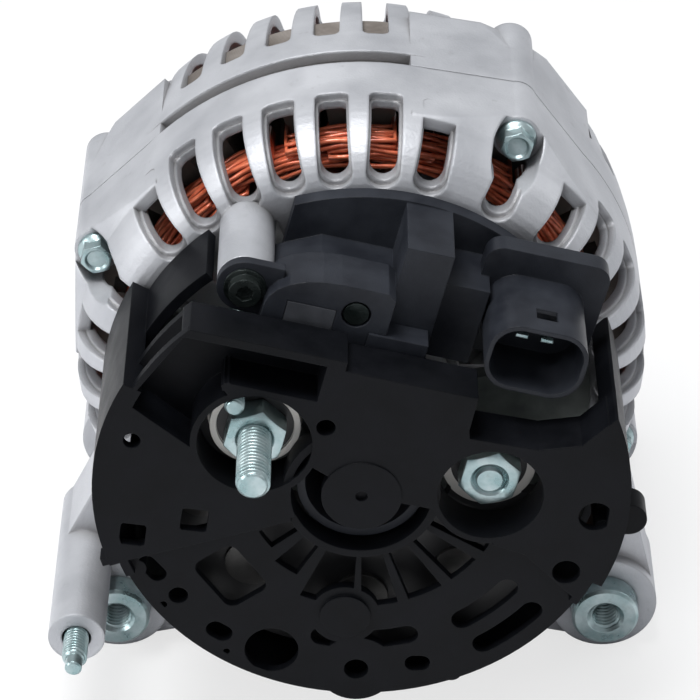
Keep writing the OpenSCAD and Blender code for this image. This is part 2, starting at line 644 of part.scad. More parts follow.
module rear_ball_cage() color(zinc) ball_cage(rear_bearing_r, rear_ball_r, rear_ball_count, rear_bearing_y, rear_bearing_w);
module front_bearing_outer() color(steel) race(race_out(front_bearing_r, front_ball_r), front_bearing_r, front_bearing_r, front_ball_r, front_bearing_y, front_bearing_w);
module front_bearing_inner() color(steel) race(shaft_r + press, race_in(front_bearing_r, front_ball_r), front_bearing_r, front_ball_r, front_bearing_y, front_bearing_w);
module front_balls() color(steel) balls(front_bearing_r, front_ball_r, front_ball_count, front_bearing_y, front_bearing_w);
module front_ball_cage() color(zinc) ball_cage(front_bearing_r, front_ball_r, front_ball_count, front_bearing_y, front_bearing_w);
module rear_bearing_sleeve() color(moulding) ring(rear_bearing_r + press, rear_bearing_r + 1, rear_bearing_y, rear_bearing_y + rear_bearing_w);

module bearing_retainer() {
    y2 = front_bearing_y - 0.5;
    color(zinc) prism(y2 - 1.6, y2) difference() {
        circle(r = front_base_r);
        circle(r = race_out(front_bearing_r, front_ball_r));
        for (i = [0 : 3]) translate(polar(retainer_r, 45 + 90 * i)) circle(r = 2 + press);
        for (i = [0 : 3]) translate(polar(front_base_r + 6, 90 * i)) circle(r = 14);
    }
}
module retainer_screws() color(zinc) for (i = [0 : 3]) {
    at = polar(retainer_r, 45 + 90 * i);
    bar(at, 2, front_bearing_y - 2.6, front_y + 0.01);
    difference() {
        bar(at, 3.2, front_y, front_y + 2.2);
        hex(at, 3.4, front_y + 1, front_y + 3);
    }
}
module front_spacer() color(steel) ring(shaft_r + press, shaft_r + 3, rotor_end_y + fan_t, front_bearing_y);
module pulley_spacer() color(steel) ring(shaft_r + press, shaft_r + 3, front_bearing_y + front_bearing_w, pulley_y);

module pulley() {
    floor_r = pulley_r - 0.8 - groove_d;
    first = pulley_y + flange_w;
    flank = groove_pitch * 0.36;
    profile = concat([[shaft_r + press, pulley_y], [pulley_r, pulley_y], [pulley_r, first - 0.4]],
        [for (i = [0 : grooves - 1], k = [0 : 3])
            let (y = first + i * groove_pitch)
            k == 0 ? [pulley_r - 0.8, y + 0.3] : k == 1 ? [floor_r, y + flank + 0.2] : k == 2 ? [floor_r, y + groove_pitch - flank - 0.2]
                : [pulley_r - 0.8, y + groove_pitch - 0.3]],
        [[pulley_r, nut_y - flange_w + 0.4], [pulley_r, nut_y], [pulley_r - 5.5, nut_y], [pulley_r - 7.5, nut_y - 9],
            [shaft_r + 5.5, nut_y - 9], [shaft_r + 5.5, nut_y], [shaft_r + press, nut_y]]);
    color([0.2, 0.2, 0.21]) turned() polygon(profile);
}
module pulley_nut() color(zinc) difference() {
    union() {
        hex([0, 0], pulley_nut_af, nut_y + 1.5, nut_y + pulley_nut_h);
        disc(pulley_nut_af / 2 + 1, nut_y, nut_y + 1.6);
    }
    disc(shaft_r - 0.5 + press, nut_y - 1, nut_y + pulley_nut_h + 1);
}

// Brush holder: two guides over the slip rings and the tube that shields the rings
module brush_holder() color(slate) difference() {
    union() {
        ring(guard_r, guard_r + guard_wall, guard_y, guard_end_y);
        tilted() translate([-stem_w / 2, stem_y, slip_ring_r + 1.9]) cube([stem_w, stem_len, guide_top + 2 - slip_ring_r - 1.9]);
    }
    tilted() for (s = [-1, 1]) translate([-brush_w / 2 - brush_gap, slip_ring_y + s * slip_ring_gap / 2 - brush_l / 2 - brush_gap, 0])
        cube([brush_w + 2 * brush_gap, brush_l + 2 * brush_gap, guide_top]);
}
module brush(s) {
    y = slip_ring_y + s * slip_ring_gap / 2;
    color([0.25, 0.24, 0.24]) difference() {
        tilted() translate([-brush_w / 2, y - brush_l / 2, slip_ring_r - 1]) cube([brush_w, brush_l, brush_h + brush_gap + 1]);
        disc(slip_ring_r + brush_gap, y - brush_l, y + brush_l);
    }
}
module brush_rear() brush(-1);
module brush_front() brush(1);

// Coil spring: a round wire swept along a helix between the brush and the top of its guide
spring_wire_r = 0.35;
spring_turns = 5;
spring_sides = 6;
spring_steps = 14;
module brush_spring(s) {
    y = slip_ring_y + s * slip_ring_gap / 2;
    r = brush_w / 2 - 0.5;
    low = brush_top + spring_wire_r;
    rise = guide_top - spring_wire_r - low;
    count = spring_turns * spring_steps;
    points = [for (i = [0 : count], k = [0 : spring_sides - 1])
        let (t = 360 * i / spring_steps, q = r + spring_wire_r * cos(360 * k / spring_sides))
        [q * cos(t), q * sin(t), low + rise * i / count + spring_wire_r * sin(360 * k / spring_sides)]];
    sides = [for (i = [0 : count - 1], k = [0 : spring_sides - 1])
        let (a = i * spring_sides + k, b = i * spring_sides + (k + 1) % spring_sides)
        [a, b, b + spring_sides, a + spring_sides]];
    ends = [[for (k = [spring_sides - 1 : -1 : 0]) k], [for (k = [0 : spring_sides - 1]) count * spring_sides + k]];
    color(steel) tilted() translate([0, y, 0]) polyhedron(points, concat(sides, ends));
}
module brush_spring_rear() brush_spring(-1);
module brush_spring_front() brush_spring(1);

// Regulator: moulded block with its ear, terminal box, flange plate and connector shell
module regulator_body() {
    back_y = minus_y;
    plate_y = plug_y + 22;
    color(slate) difference() {
        tilted() union() {
            prism(reg_y, reg_y + 13) polygon(concat([[-3, 24], [-32, 24]], [for (i = [0 : 6]) [-16 - 16 * cos(15 * i), 36.5 + 9.5 * sin(15 * i)]],
                [[-5, 46], [-3, 44.5]]));
            prism(reg_y + 13, back_y) polygon([[-32, 24], [-32, 36], [-20, 42.4], [-2.5, 42.4], [-2.5, 24]]);
            prism(20, back_y) translate([-3, 24]) square([11, 31.5]);
            prism(24, back_y) translate([8, 26]) square([11, 20]);
            prism(ear_y, ear_y + ear_t) {
                translate(ear_at) circle(r = ear_post_r);
                translate([ear_at[0], ear_at[1] - ear_post_r]) square([8, 2 * ear_post_r]);
            }
            prism(back_y, face_y) intersection() {
                circle(r = reg_flange_r);
                translate([-28, 23]) square([66, 40]);
            }
            prism(plate_y, plate_y + 5.5) translate([31.8, 40]) oval(29.6, 28.6, 4);
            prism(plate_y + 5, back_y) translate([27, 36]) oval(22, 18, 4);
            prism(plug_y, plate_y + 1) translate(plug_at) oval(plug_w, plug_h, 7);
        }
        tilted() {
            prism(plug_y - 1, plug_y + 17) translate(plug_at) oval(plug_w - 2 * plug_wall, plug_h - 2 * plug_wall, 7 - plug_wall);
            prism(plug_y + 5, plug_y + 9) translate([plug_at[0] - 2, plug_at[1] + plug_h / 2 - 3]) square([5, 5]);
            translate([-stem_w / 2, stem_y, 0]) cube([stem_w, stem_len, guide_top + 2]);
            prism(ear_y - 1, ear_y + ear_t + 1) translate(ear_at) circle(r = post_bore_r + play);
            prism(ear_y + ear_t, face_y + 1) translate(ear_at) circle(r = ear_post_r + 0.3);
            prism(reg_y - 1, reg_y + 11) translate([-11, 39]) circle(r = post_bore_r + press);
            prism(reg_y - 1, reg_y + 2.2) translate([-11, 39]) circle(r = 3.4);
            prism(reg_y - 0.01, reg_y + 2) translate([-27, 27]) square([11.5, 12]);
            for (i = [0 : pin_count - 1]) prism(plug_y + 10, plug_y + 25) translate([plug_at[0] + (i - (pin_count - 1) / 2) * 6, plug_at[1]])
                square([2.8 + 2 * press, 0.8 + 2 * press], center = true);
        }
    }
}
module regulator_heat_sink() color(cast) tilted() prism(reg_y, reg_y + 2) translate([-26.9, 27.1]) square([11.3, 11.8]);
module regulator_screws() color(zinc) {
    at = unturned(ear_at);
    bar(at, post_bore_r, ear_y - 0.01, face_y + 6);
    difference() {
        bar(at, 3.7, ear_y - 3, ear_y);
        hex(at, 3.6, ear_y - 4, ear_y - 1.4);
    }
    bar(at, 4.9, ear_y - 0.6, ear_y);
    small = unturned([-11, 39]);
    bar(small, post_bore_r, reg_y + 2.19, reg_y + 10);
    bar(small, 2.9, reg_y + 0.2, reg_y + 2.2);
}
module connector_pins() color(zinc) tilted() for (i = [0 : pin_count - 1])
    prism(plug_y + 10, plug_y + 24) translate([plug_at[0] + (i - (pin_count - 1) / 2) * 6, plug_at[1]]) square([2.8, 0.8], center = true);

module positive_plate() color(cast) difference() {
    union() {
        prism(plus_y, plus_end_y) {
            wide_sector(22, plate_r, 160, 250);
            wide_sector(22, plate_r, 245, 348);
            translate(main_at) circle(r = 11);
            translate(second_at) circle(r = 11);
        }
        bar(main_at, 10.5, plus_y - main_boss_h, plus_y + 0.1);
    }
    bar(main_at, stud_r + play, 0, 30);
    bar(second_at, stud_r + play, 0, 30);
    bar(cover_stud_at, cover_stud_r + 1, 0, 30);
    bar(main_at, 9, plus_y - main_boss_h - 1, plus_y - main_boss_h + 0.8);
    for (a = plus_diode_angles) bar(polar(diode_circle_r, a), diode_r + press, 0, 30);
    for (p = post_points) bar(p, screw_r + play, 0, 30);
}
module negative_plate() color([0.42, 0.45, 0.44]) difference() {
    prism(minus_y, face_y) difference() {
        union() {
            wide_sector(23, minus_plate_r, 152, 260);
            wide_sector(23, minus_plate_r, 255, 372);
        }
        for (a = minus_diode_angles) translate(polar(diode_circle_r, a)) circle(r = diode_r + press);
        for (p = post_points) translate(p) circle(r = screw_r + play);
    }
}
module diode(at, y1, y2, tip_y) {
    bar(at, diode_r, min(y1, y2), max(y1, y2));
    bar(at, 0.8, min(y2, tip_y) - 0.01, max(y2, tip_y));
}
module positive_diodes() color(steel) for (a = plus_diode_angles) diode(polar(diode_circle_r, a), plus_y - 1, plus_end_y + 3, frame_y);
module negative_diodes() color(steel) for (a = minus_diode_angles) {
    at = polar(diode_circle_r, a);
    bar(at, diode_r, minus_y - 4, face_y);
    bar(at, 0.8, frame_y + frame_t, minus_y - 3.99);
}
module wiring_frame() color(moulding) prism(frame_y, frame_y + frame_t) difference() {
    union() {
        wide_sector(31, 45, 180, 262);
        wide_sector(31, 45, 258, 336);
        intersection() {
            for (p = post_points) translate(p) circle(r = post_r + 4);
            circle(r = plate_r);
        }
    }
    for (p = post_points) translate(p) circle(r = post_r + press);
}
module rectifier_posts() color([0.35, 0.3, 0.25]) difference() {
    for (p = post_points) bar(p, post_r, plus_end_y, minus_y);
    for (p = post_points) bar(p, screw_r + play, 0, face_y);
}
module rectifier_screws() color(zinc) for (at = post_points) {
    bar(at, screw_r, plus_y - 0.01, face_y + end_wall + 2);
    bar(at, 3.4, plus_y - 2.4, plus_y);
}

module cover_stud() color(zinc) bar(cover_stud_at, cover_stud_r, 0, face_y + end_wall + 2);

module main_stud() color(zinc) {
    tip = plus_y - main_boss_h - stud_nut_h - main_stud_out;
    bar(main_at, stud_r, tip + 1, main_nut_y - 0.6);
    bar(main_at, stud_shank_r, main_nut_y - 0.61, plus_end_y + 0.01);
    turned_tip(main_at, tip, stud_r);
    hex(main_at, stud_nut_af, plus_end_y, plus_end_y + 4.5);
}
module second_stud() color(zinc) {
    tip = plus_y - stud_nut_h - 0.3;
    bar(second_at, stud_shank_r, tip + 1, plus_end_y + 0.01);
    turned_tip(second_at, tip, stud_shank_r);
    hex(second_at, stud_nut_af, plus_end_y, plus_end_y + 4.5);
}
module turned_tip(at, tip, r) translate([at[0], tip, at[1]]) rotate([-90, 0, 0]) cylinder(r1 = r - 0.9, r2 = r, h = 1.01);
module stud_nut(at, y) color(zinc) difference() {
    intersection() {
        hex(at, stud_nut_af, y, y + stud_nut_h);
        translate([at[0], y, at[1]]) turned() polygon([[0, 0], [stud_nut_af / 2 - 0.2, 0], [stud_nut_af * 0.6, 1.6], [stud_nut_af * 0.6, stud_nut_h], [0, stud_nut_h]]);
    }
    bar(at, stud_shank_r + press, y - 1, y + stud_nut_h + 1);
}
module main_nut() stud_nut(main_at, main_nut_y);
module second_nut() stud_nut(second_at, plus_y - stud_nut_h);

module side_stud() {
    tube_y = face_y - tube_proud;
    color(zinc) translate([-tube_x, 0, -tube_drop]) turned() polygon([[0, tube_y - side_stud_out], [side_stud_r - 1, tube_y - side_stud_out],
        [side_stud_r - 1, tube_y - side_stud_out + 3.5], [side_stud_r, tube_y - side_stud_out + 4.5], [side_stud_r, tube_y - 0.6],
        [side_shank_r, tube_y - 0.6], [side_shank_r, face_y + 10], [0, face_y + 10]]);
}
module lug_bush(s) {
    y = face_y - rear_lug_proud - bush_proud;
    color(zinc) translate([s * lug_x, 0, -lug_drop]) turned() polygon([[bush_bore_r, y + 0.8], [bush_bore_r + 0.8, y], [bush_r - 0.6, y],
        [bush_r, y + 0.6], [bush_r, y + bush_len], [bush_bore_r, y + bush_len]]);
}
module lug_bush_left() lug_bush(-1);
module lug_bush_right() lug_bush(1);

// Walls of even thickness along a run of points
module wall_run(points) for (i = [0 : len(points) - 2]) {
    p = points[i];
    q = points[i + 1];
    translate(p) rotate(atan2(q[1] - p[1], q[0] - p[0])) translate([-cover_t / 2, -cover_t / 2]) square([norm(q - p) + cover_t, cover_t]);
}

// Outlines on the rear cover, seen from the rear
left_pocket = [[-53.5, 25.5], [-38.4, 12.6], [-30, 16], [-29, 27], [-31, 31], unturned([-15.8, 22.6]), unturned([-15.8, 33]), unturned([-49, 33])];
right_pocket = [[24.4, 18.4], [24.7, 15.3], [40.7, 12.6], [50.6, 13.9], [57.5, 20.8]];
hub_slots = [[206, 218, 26.5], [225, 238, 28.5], [244.5, 266.5, 33.5], [270, 285, 33.5], [289.5, 304.5, 33.3], [309.5, 323.5, 33.2], [328.5, 343, 33.5]];
module cover_above() {
    polygon([unturned([-80, 34.6]), unturned([-13, 34.6]), unturned([-13, 32.4]), unturned([18.2, 32.4]), [24.4, 18.4], [24.7, 15.3],
        [40.7, 12.6], [50.6, 13.9], [57.5, 20.8], [80, 30], [80, 90], [-80, 90]]);
}
module cover_outline() {
    difference() {
        union() {
            circle(r = cover_r);
            wide_sector(30, sector_r, 150, 199);
            wide_sector(30, sector_r, -25, 22);
            translate([-1.2, -52.4]) circle(r = 9.2);
        }
        cover_above();
    }
}
module upper_level() polygon([[-80, -24.9], [-16, -6.2], [0, 0], [17, -4], [22, -11], [38, -17], [52, -32], [75, -32], [75, 80], [-80, 80]]);
module round_slot(r, a1, a2) {
    sector(r - cover_slot_w / 2, r + cover_slot_w / 2, a1, a2);
    for (a = [a1, a2]) translate(polar(r, a)) circle(r = cover_slot_w / 2 - 0.02);
}
module cover_holes() {
    translate([-52.3, 15.4]) circle(r = 2);
    translate([-8.1, 19]) circle(r = 2.2);
    translate([-53, -11.1]) rotate(-8) oval(6, 6, 0.8);
    translate([-38.6, -7]) rotate(-8) oval(6.2, 6.2, 0.8);
    translate([-48.9, -22.4]) rotate(-52) oval(8, 4.2, 2);
    translate([-43, -30.3]) circle(r = 2.3);
    translate([-46.6, -33]) circle(r = 0.9);
    translate([-33.6, -41]) rotate(-35) oval(6.6, 4.6, 2.2);
    translate([-32, -47]) circle(r = 0.8);
    translate([-30.6, -24.7]) rotate(35) oval(11.6, 15.6, 2.6);
    translate([-21.3, -46.6]) circle(r = 6.4);
    translate([13.4, -50.6]) oval(6, 4.4, 2.1);
    translate([-1.2, -52.4]) circle(r = 2.9);
    translate([54, -6]) circle(r = 3.9);
    translate([47.8, -22]) circle(r = 3.3);
    round_slot(44.4, -57.5, -39.5);
    round_slot(53.2, -57, -41);
    difference() {
        union() {
            round_slot(43.4, 257.5, 284.5);
            for (s = hub_slots) sector(hub_hole_r + 2.4, s[2], s[0], s[1]);
        }
        translate([-1.2, -52.4]) circle(r = 9.4);
        translate([-3.8, -36.2]) circle(r = 8.2);
    }
}
module terminal_wells() {
    translate(main_at) circle(r = well_r);
    translate(second_at) circle(r = well_r - 1);
}
module hub_crescent() {
    wide_sector(cap_r, hub_hole_r, 145, 250);
    wide_sector(cap_r, hub_hole_r, 245, 342);
}
module tube_wall(at, r, y1, y2) translate([at[0], 0, at[1]]) ring(r, r + cover_t * 0.7, y1, y2);

// Rear cover: a moulded shell with a panel over the shaft, terminal wells, pockets and cooling slots
module rear_cover() {
    skirt_y = face_y - 1;
    floor_y = plus_y - 1.3;
    low_wall_y = 24;
    color(moulding) difference() {
        union() {
            prism(0, cover_t) difference() {
                intersection() { cover_outline(); upper_level(); }
                polygon(left_pocket);
                terminal_wells();
                hub_crescent();
                cover_holes();
            }
            prism(cover_step, cover_step + cover_t) difference() {
                cover_outline();
                upper_level();
                terminal_wells();
                circle(r = hub_hole_r);
                cover_holes();
            }
            difference() {
                prism(0, cover_step + cover_t) difference() {
                    wall_run([[-59.5, -18.9], [-17.5, -6.6]]);
                    wall_run([[59, -32], [52, -32]]);
                    cover_holes();
                }
                disc(hub_hole_r, -1, 20);
            }
            prism(cover_step, skirt_y) difference() {
                cover_outline();
                circle(r = cover_r - cover_t);
                translate([-80, -24]) square([200, 200]);
            }
            prism(0, skirt_y) difference() {
                intersection() { cover_outline(); union() { wide_sector(30, 80, 150, 203); wide_sector(30, 80, -32, 22); } }
                circle(r = cover_r - cover_t);
            }
            prism(low_wall_y, skirt_y) wide_sector(cover_r - 2 * cover_t, cover_r - cover_t + 0.3, 128, 160);
            prism(0, pocket_d) difference() {
                union() {
                    wall_run([unturned([-49, 33.8]), unturned([-13, 33.8]), unturned([-13, 31.4]), unturned([18, 31.4]), [23.4, 18.4]]);
                    wall_run([[-53.5, 24.5], [-38.4, 11.6]]);
                    wall_run([[-28.4, 27], [-30.2, 30], unturned([-15, 21.8]), unturned([-15, 33])]);
                    wall_run([[23.6, 15], [40.5, 11.6], [50.8, 12.9], [58, 20]]);
                }
                terminal_wells();
                difference() { square(300, center = true); circle(r = cover_r - 0.1); }
            }
            prism(pocket_d - cover_t + 1, pocket_d + 1) difference() {
                intersection() {
                    polygon(concat(left_pocket, [[-62, 42]]));
                    circle(r = cover_r - 1);
                }
                translate(main_at) circle(r = well_r - 0.5);
                translate(cover_stud_at) circle(r = cover_stud_r + play);
            }
            difference() {
                tube_wall(main_at, well_r, 0, floor_y);
                disc(guard_r + guard_wall + play, guard_y - play, floor_y + 1);
            }
            tube_wall(second_at, well_r - 1, 0, floor_y);
            ring(hub_hole_r, hub_hole_r + 1.9, 0.8, 7);
            bar([-3.8, -36.2], 6, cover_step - 0.8, cover_step + cover_t);
            bar([62.5, -12], 4.2, 7, 14);
            prism(7, 14) translate([55, -16.2]) square([7, 8.4]);
            disc(cap_r, -0.3, cover_t);
            for (a = [203, 292, 349]) bar(polar(cover_r - cover_t, a), 2.6, cover_step, minus_y);
        }
        disc(1.4, -1, 0.7);
        for (i = [0 : 4]) prism(18, face_y) rotate(192 + 38 * i) translate([cover_r - 6, -9]) square([12, 18]);
    }
}

// The origin is on the shaft axis at the middle of the belt track
module placed() translate([0, -belt_y, 0]) children();
placed() rear_bracket();
placed() front_bracket();
placed() through_bolts();
placed() stator_core();
placed() phase_winding(0);  // phase_winding_u
placed() phase_winding(1);  // phase_winding_v
placed() phase_winding(2);  // phase_winding_w
placed() rear_cover();
placed() regulator_body();
placed() regulator_heat_sink();
placed() regulator_screws();
placed() connector_pins();
placed() brush_holder();
placed() brush_rear();
placed() brush_front();
placed() brush_spring_rear();
placed() brush_spring_front();
placed() positive_plate();
placed() negative_plate();
placed() positive_diodes();
placed() negative_diodes();
placed() wiring_frame();
placed() rectifier_posts();
placed() rectifier_screws();
placed() cover_stud();
placed() main_stud();
placed() main_nut();
placed() second_stud();
placed() second_nut();
placed() side_stud();
placed() lug_bush_left();
placed() lug_bush_right();
placed() rear_bearing_outer();
placed() rear_bearing_sleeve();
placed() front_bearing_outer();
placed() bearing_retainer();
placed() retainer_screws();
placed() rotor_shaft();
placed() claw_pole_rear();
placed() claw_pole_front();
placed() coil_bobbin();
placed() field_coil();
placed() rear_fan();
placed() front_fan();
placed() slip_ring_carrier();
placed() slip_rings();
placed() rear_bearing_inner();
placed() front_bearing_inner();
placed() front_spacer();
placed() pulley_spacer();
placed() pulley();
placed() pulley_nut();
placed() rear_ball_cage();
placed() rear_balls();
placed() front_ball_cage();
placed() front_balls();
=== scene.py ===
import json
import math

import bpy
from mathutils import Matrix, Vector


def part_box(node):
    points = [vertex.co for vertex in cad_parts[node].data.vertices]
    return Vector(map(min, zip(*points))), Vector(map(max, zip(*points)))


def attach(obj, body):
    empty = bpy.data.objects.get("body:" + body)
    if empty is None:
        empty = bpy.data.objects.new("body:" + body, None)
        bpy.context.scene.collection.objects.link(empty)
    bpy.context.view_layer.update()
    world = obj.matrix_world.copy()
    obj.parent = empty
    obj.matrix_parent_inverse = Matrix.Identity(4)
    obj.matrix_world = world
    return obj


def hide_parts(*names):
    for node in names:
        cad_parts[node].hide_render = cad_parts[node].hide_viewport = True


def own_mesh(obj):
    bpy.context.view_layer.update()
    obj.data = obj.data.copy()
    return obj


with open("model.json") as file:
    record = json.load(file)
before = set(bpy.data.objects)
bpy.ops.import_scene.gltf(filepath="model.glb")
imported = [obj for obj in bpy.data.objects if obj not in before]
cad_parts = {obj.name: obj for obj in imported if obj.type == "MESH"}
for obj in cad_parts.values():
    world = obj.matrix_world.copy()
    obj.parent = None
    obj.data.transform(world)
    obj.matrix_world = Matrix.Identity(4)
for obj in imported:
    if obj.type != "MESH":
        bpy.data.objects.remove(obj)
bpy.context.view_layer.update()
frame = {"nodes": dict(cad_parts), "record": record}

# Camera
# The photograph looks down on the rear cover from straight behind the shaft, through a long lens.
# The eye is placed from the cover's flat rear face, which its centre cap stands a little proud of.
MM = 0.001
CAP_PROUD = 0.3 * MM
REAR_FACE_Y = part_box("rear_cover")[0][1] + CAP_PROUD
VIEW_PITCH = math.radians(33.5)
LENS_MM = 182.1
SENSOR_MM = 36
EYE_BACK = 814 * MM
EYE_RIGHT = -2.65 * MM
EYE_UP = 33.5 * MM
NEAREST = 0.05
FARTHEST = 20

scene = bpy.context.scene
scene.view_settings.view_transform = "Standard"
bpy.ops.object.select_all(action="DESELECT")

eye = (
    EYE_RIGHT,
    REAR_FACE_Y + EYE_UP * math.sin(VIEW_PITCH) - EYE_BACK * math.cos(VIEW_PITCH),
    EYE_UP * math.cos(VIEW_PITCH) + EYE_BACK * math.sin(VIEW_PITCH),
)
bpy.ops.object.camera_add(location=eye, rotation=(math.pi / 2 - VIEW_PITCH, 0, 0))
camera = bpy.context.object
camera.data.lens = LENS_MM
camera.data.sensor_width = SENSOR_MM
camera.data.clip_start = NEAREST
camera.data.clip_end = FARTHEST
scene.camera = camera


# Studio
# The part stands on white paper under a broad soft lamp, with two weak ones at the sides and a
# pale even light from the room. The room shows white to the camera, and the paper nearly so.
AIM = (0, -0.09, 0)
TOP_LAMP = {"place": (-0.20, -0.22, 0.95), "size": 0.55, "watts": 10.5}
LEFT_LAMP = {"place": (-0.85, -0.45, 0.35), "size": 0.45, "watts": 3.2}
RIGHT_LAMP = {"place": (0.85, 0.15, 0.45), "size": 0.45, "watts": 1.2}
ROOM_TINT = (0.94, 0.96, 1.0, 1)
ROOM_STRENGTH = 0.45
PURE_WHITE = (1, 1, 1, 1)
PAPER_SIZE = 6
PAPER_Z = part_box("rear_bracket")[0][2]
PAPER_TINT = (0.86, 0.86, 0.87, 1)
PAPER_ROUGH = 0.9
PAPER_GLOW = 0.72


def soft_lamp(place, size, watts):
    bpy.ops.object.light_add(type="AREA", location=place)
    lamp = bpy.context.object
    lamp.data.shape = "DISK"
    lamp.data.size = size
    lamp.data.energy = watts
    across, along, down = [target - start for target, start in zip(AIM, place)]
    lamp.rotation_euler = (
        math.pi / 2 + math.atan2(down, math.hypot(across, along)),
        0,
        math.atan2(along, across) - math.pi / 2,
    )


for lamp_values in (TOP_LAMP, LEFT_LAMP, RIGHT_LAMP):
    soft_lamp(**lamp_values)


def shader_node(tree, kind, settings=None, **values):
    node = tree.nodes.new(kind)
    for key, value in (settings or {}).items():
        setattr(node, key, value)
    for key, value in values.items():
        node.inputs[key.replace("_", " ")].default_value = value
    return node


def calculate(tree, operation, first, second=0.0):
    node = shader_node(tree, "ShaderNodeMath", {"operation": operation})
    for socket, value in zip(node.inputs, (first, second)):
        if isinstance(value, (int, float)):
            socket.default_value = value
        else:
            tree.links.new(value, socket)
    return node.outputs[0]


def mixed(tree, share, first, second, output):
    mix = shader_node(tree, "ShaderNodeMixShader")
    for socket, source in zip(mix.inputs, (share, first.outputs[0], second.outputs[0])):
        tree.links.new(source, socket)
    tree.links.new(mix.outputs[0], output.inputs[0])


def new_material(name):
    material = bpy.data.materials.new(name)
    material.use_nodes = True
    return material, material.node_tree, material.node_tree.nodes["Principled BSDF"]


world = bpy.data.worlds.new("pale_room")
scene.world = world
world.use_nodes = True
room = world.node_tree
room.nodes.clear()
rays = shader_node(room, "ShaderNodeLightPath")
seen = calculate(
    room, "MAXIMUM", rays.outputs["Is Camera Ray"], rays.outputs["Is Transmission Ray"]
)
soft_fill = shader_node(room, "ShaderNodeBackground", Color=ROOM_TINT, Strength=ROOM_STRENGTH)
white = shader_node(room, "ShaderNodeBackground", Color=PURE_WHITE, Strength=1.0)
mixed(room, seen, soft_fill, white, shader_node(room, "ShaderNodeOutputWorld"))

bpy.ops.mesh.primitive_plane_add(size=PAPER_SIZE, location=(0, 0, PAPER_Z))
floor = bpy.context.object
floor.name = "paper_floor"

paper, paper_tree, paper_shader = new_material("white_paper")
paper_shader.inputs["Base Color"].default_value = PAPER_TINT
paper_shader.inputs["Roughness"].default_value = PAPER_ROUGH
paper_light = shader_node(paper_tree, "ShaderNodeEmission", Color=PURE_WHITE, Strength=1.0)
paper_rays = shader_node(paper_tree, "ShaderNodeLightPath")
paper_share = calculate(paper_tree, "MULTIPLY", paper_rays.outputs["Is Camera Ray"], PAPER_GLOW)
mixed(paper_tree, paper_share, paper_shader, paper_light, paper_tree.nodes["Material Output"])
floor.data.materials.append(paper)


# Brackets
# Both brackets are pressure die-cast aluminium: a fine matt skin with slightly rounded edges,
# with painted shade in the corners, and darker painted shade inside the bowls and near other parts.
CAST_DARK = (0.40, 0.41, 0.435)
CAST_PALE = (0.52, 0.53, 0.555)
# Painted shade: the colour that hemmed-in corners are darkened towards.
CAST_CORNER_SHADE = (0.20, 0.19, 0.185)
CAST_SPECK = (0.30, 0.30, 0.31)
# Painted shade: the near black that the bowls and faces near other parts are darkened towards.
CAST_BOWL_SHADE = (0.06, 0.06, 0.065)
CAST_METALLIC = 0.5
CAST_EDGE_R = 1.0 * MM
BLOTCH_SCALE = 55
SPECK_SCALE = 260
CAST_GRIT_SCALE = 1400
CAST_GRIT_DEPTH = 0.08 * MM
CORNER_REACH = 6 * MM
BOWL_REACH = 16 * MM


def object_point(tree):
    return shader_node(tree, "ShaderNodeTexCoord").outputs["Object"]


def grain(tree, scale, detail=3.0, rough=0.55):
    node = shader_node(tree, "ShaderNodeTexNoise", Scale=scale, Detail=detail, Roughness=rough)
    tree.links.new(object_point(tree), node.inputs["Vector"])
    return node.outputs["Fac"]


def remap(tree, value, low, high, to_low, to_high):
    node = shader_node(tree, "ShaderNodeMapRange", {"clamp": True})
    for index, number in enumerate((low, high, to_low, to_high)):
        node.inputs[index + 1].default_value = number
    tree.links.new(value, node.inputs[0])
    return node.outputs[0]


def colour_mix(tree, factor, first, second):
    node = shader_node(tree, "ShaderNodeMix", {"data_type": "RGBA"})
    tree.links.new(factor, node.inputs["Factor"])
    for socket, value in ((node.inputs[6], first), (node.inputs[7], second)):
        if isinstance(value, tuple):
            socket.default_value = (*value, 1)
        else:
            tree.links.new(value, socket)
    return node.outputs[2]


def crevice(tree, reach, alone=True):
    settings = {"samples": 6, "only_local": alone}
    return shader_node(tree, "ShaderNodeAmbientOcclusion", settings, Distance=reach).outputs["AO"]


def relief(tree, shader, height, depth, edge_r):
    bump = shader_node(tree, "ShaderNodeBump", Distance=depth, Strength=1.0)
    tree.links.new(height, bump.inputs["Height"])
    if edge_r:
        bevel = shader_node(tree, "ShaderNodeBevel", {"samples": 4}, Radius=edge_r)
        tree.links.new(bevel.outputs[0], bump.inputs["Normal"])
    tree.links.new(bump.outputs[0], shader.inputs["Normal"])


def dress(names, material):
    for name in names:
        piece = frame["nodes"][name]
        piece.data.materials.clear()
        piece.data.materials.append(material)


def cast_skin():
    material, tree, shader = new_material("cast_aluminium")
    blotch = grain(tree, BLOTCH_SCALE, 4)
    grit = grain(tree, CAST_GRIT_SCALE, 2, 0.6)
    skin = colour_mix(tree, remap(tree, blotch, 0.35, 0.7, 0, 1), CAST_DARK, CAST_PALE)
    # Painted shade: darker where the bracket's own walls hem the surface in.
    corner = remap(tree, crevice(tree, CORNER_REACH), 0.35, 0.95, 1, 0)
    corner_shaded = colour_mix(tree, calculate(tree, "MULTIPLY", corner, 0.8), skin, CAST_CORNER_SHADE)
    speck = remap(tree, grain(tree, SPECK_SCALE, 5, 0.7), 0.62, 0.72, 0, 0.35)
    speckled = colour_mix(tree, speck, corner_shaded, CAST_SPECK)
    # Painted shade: darker where other parts, such as the cover and the core, hem the surface in.
    inside = remap(tree, crevice(tree, BOWL_REACH, False), 0.15, 0.55, 0.85, 0)
    shaded = colour_mix(tree, inside, speckled, CAST_BOWL_SHADE)
    tree.links.new(shaded, shader.inputs["Base Color"])
    tree.links.new(remap(tree, blotch, 0.3, 0.75, 0.42, 0.56), shader.inputs["Roughness"])
    shader.inputs["Metallic"].default_value = CAST_METALLIC
    relief(tree, shader, grit, CAST_GRIT_DEPTH, CAST_EDGE_R)
    return material


dress(["rear_bracket", "front_bracket"], cast_skin())
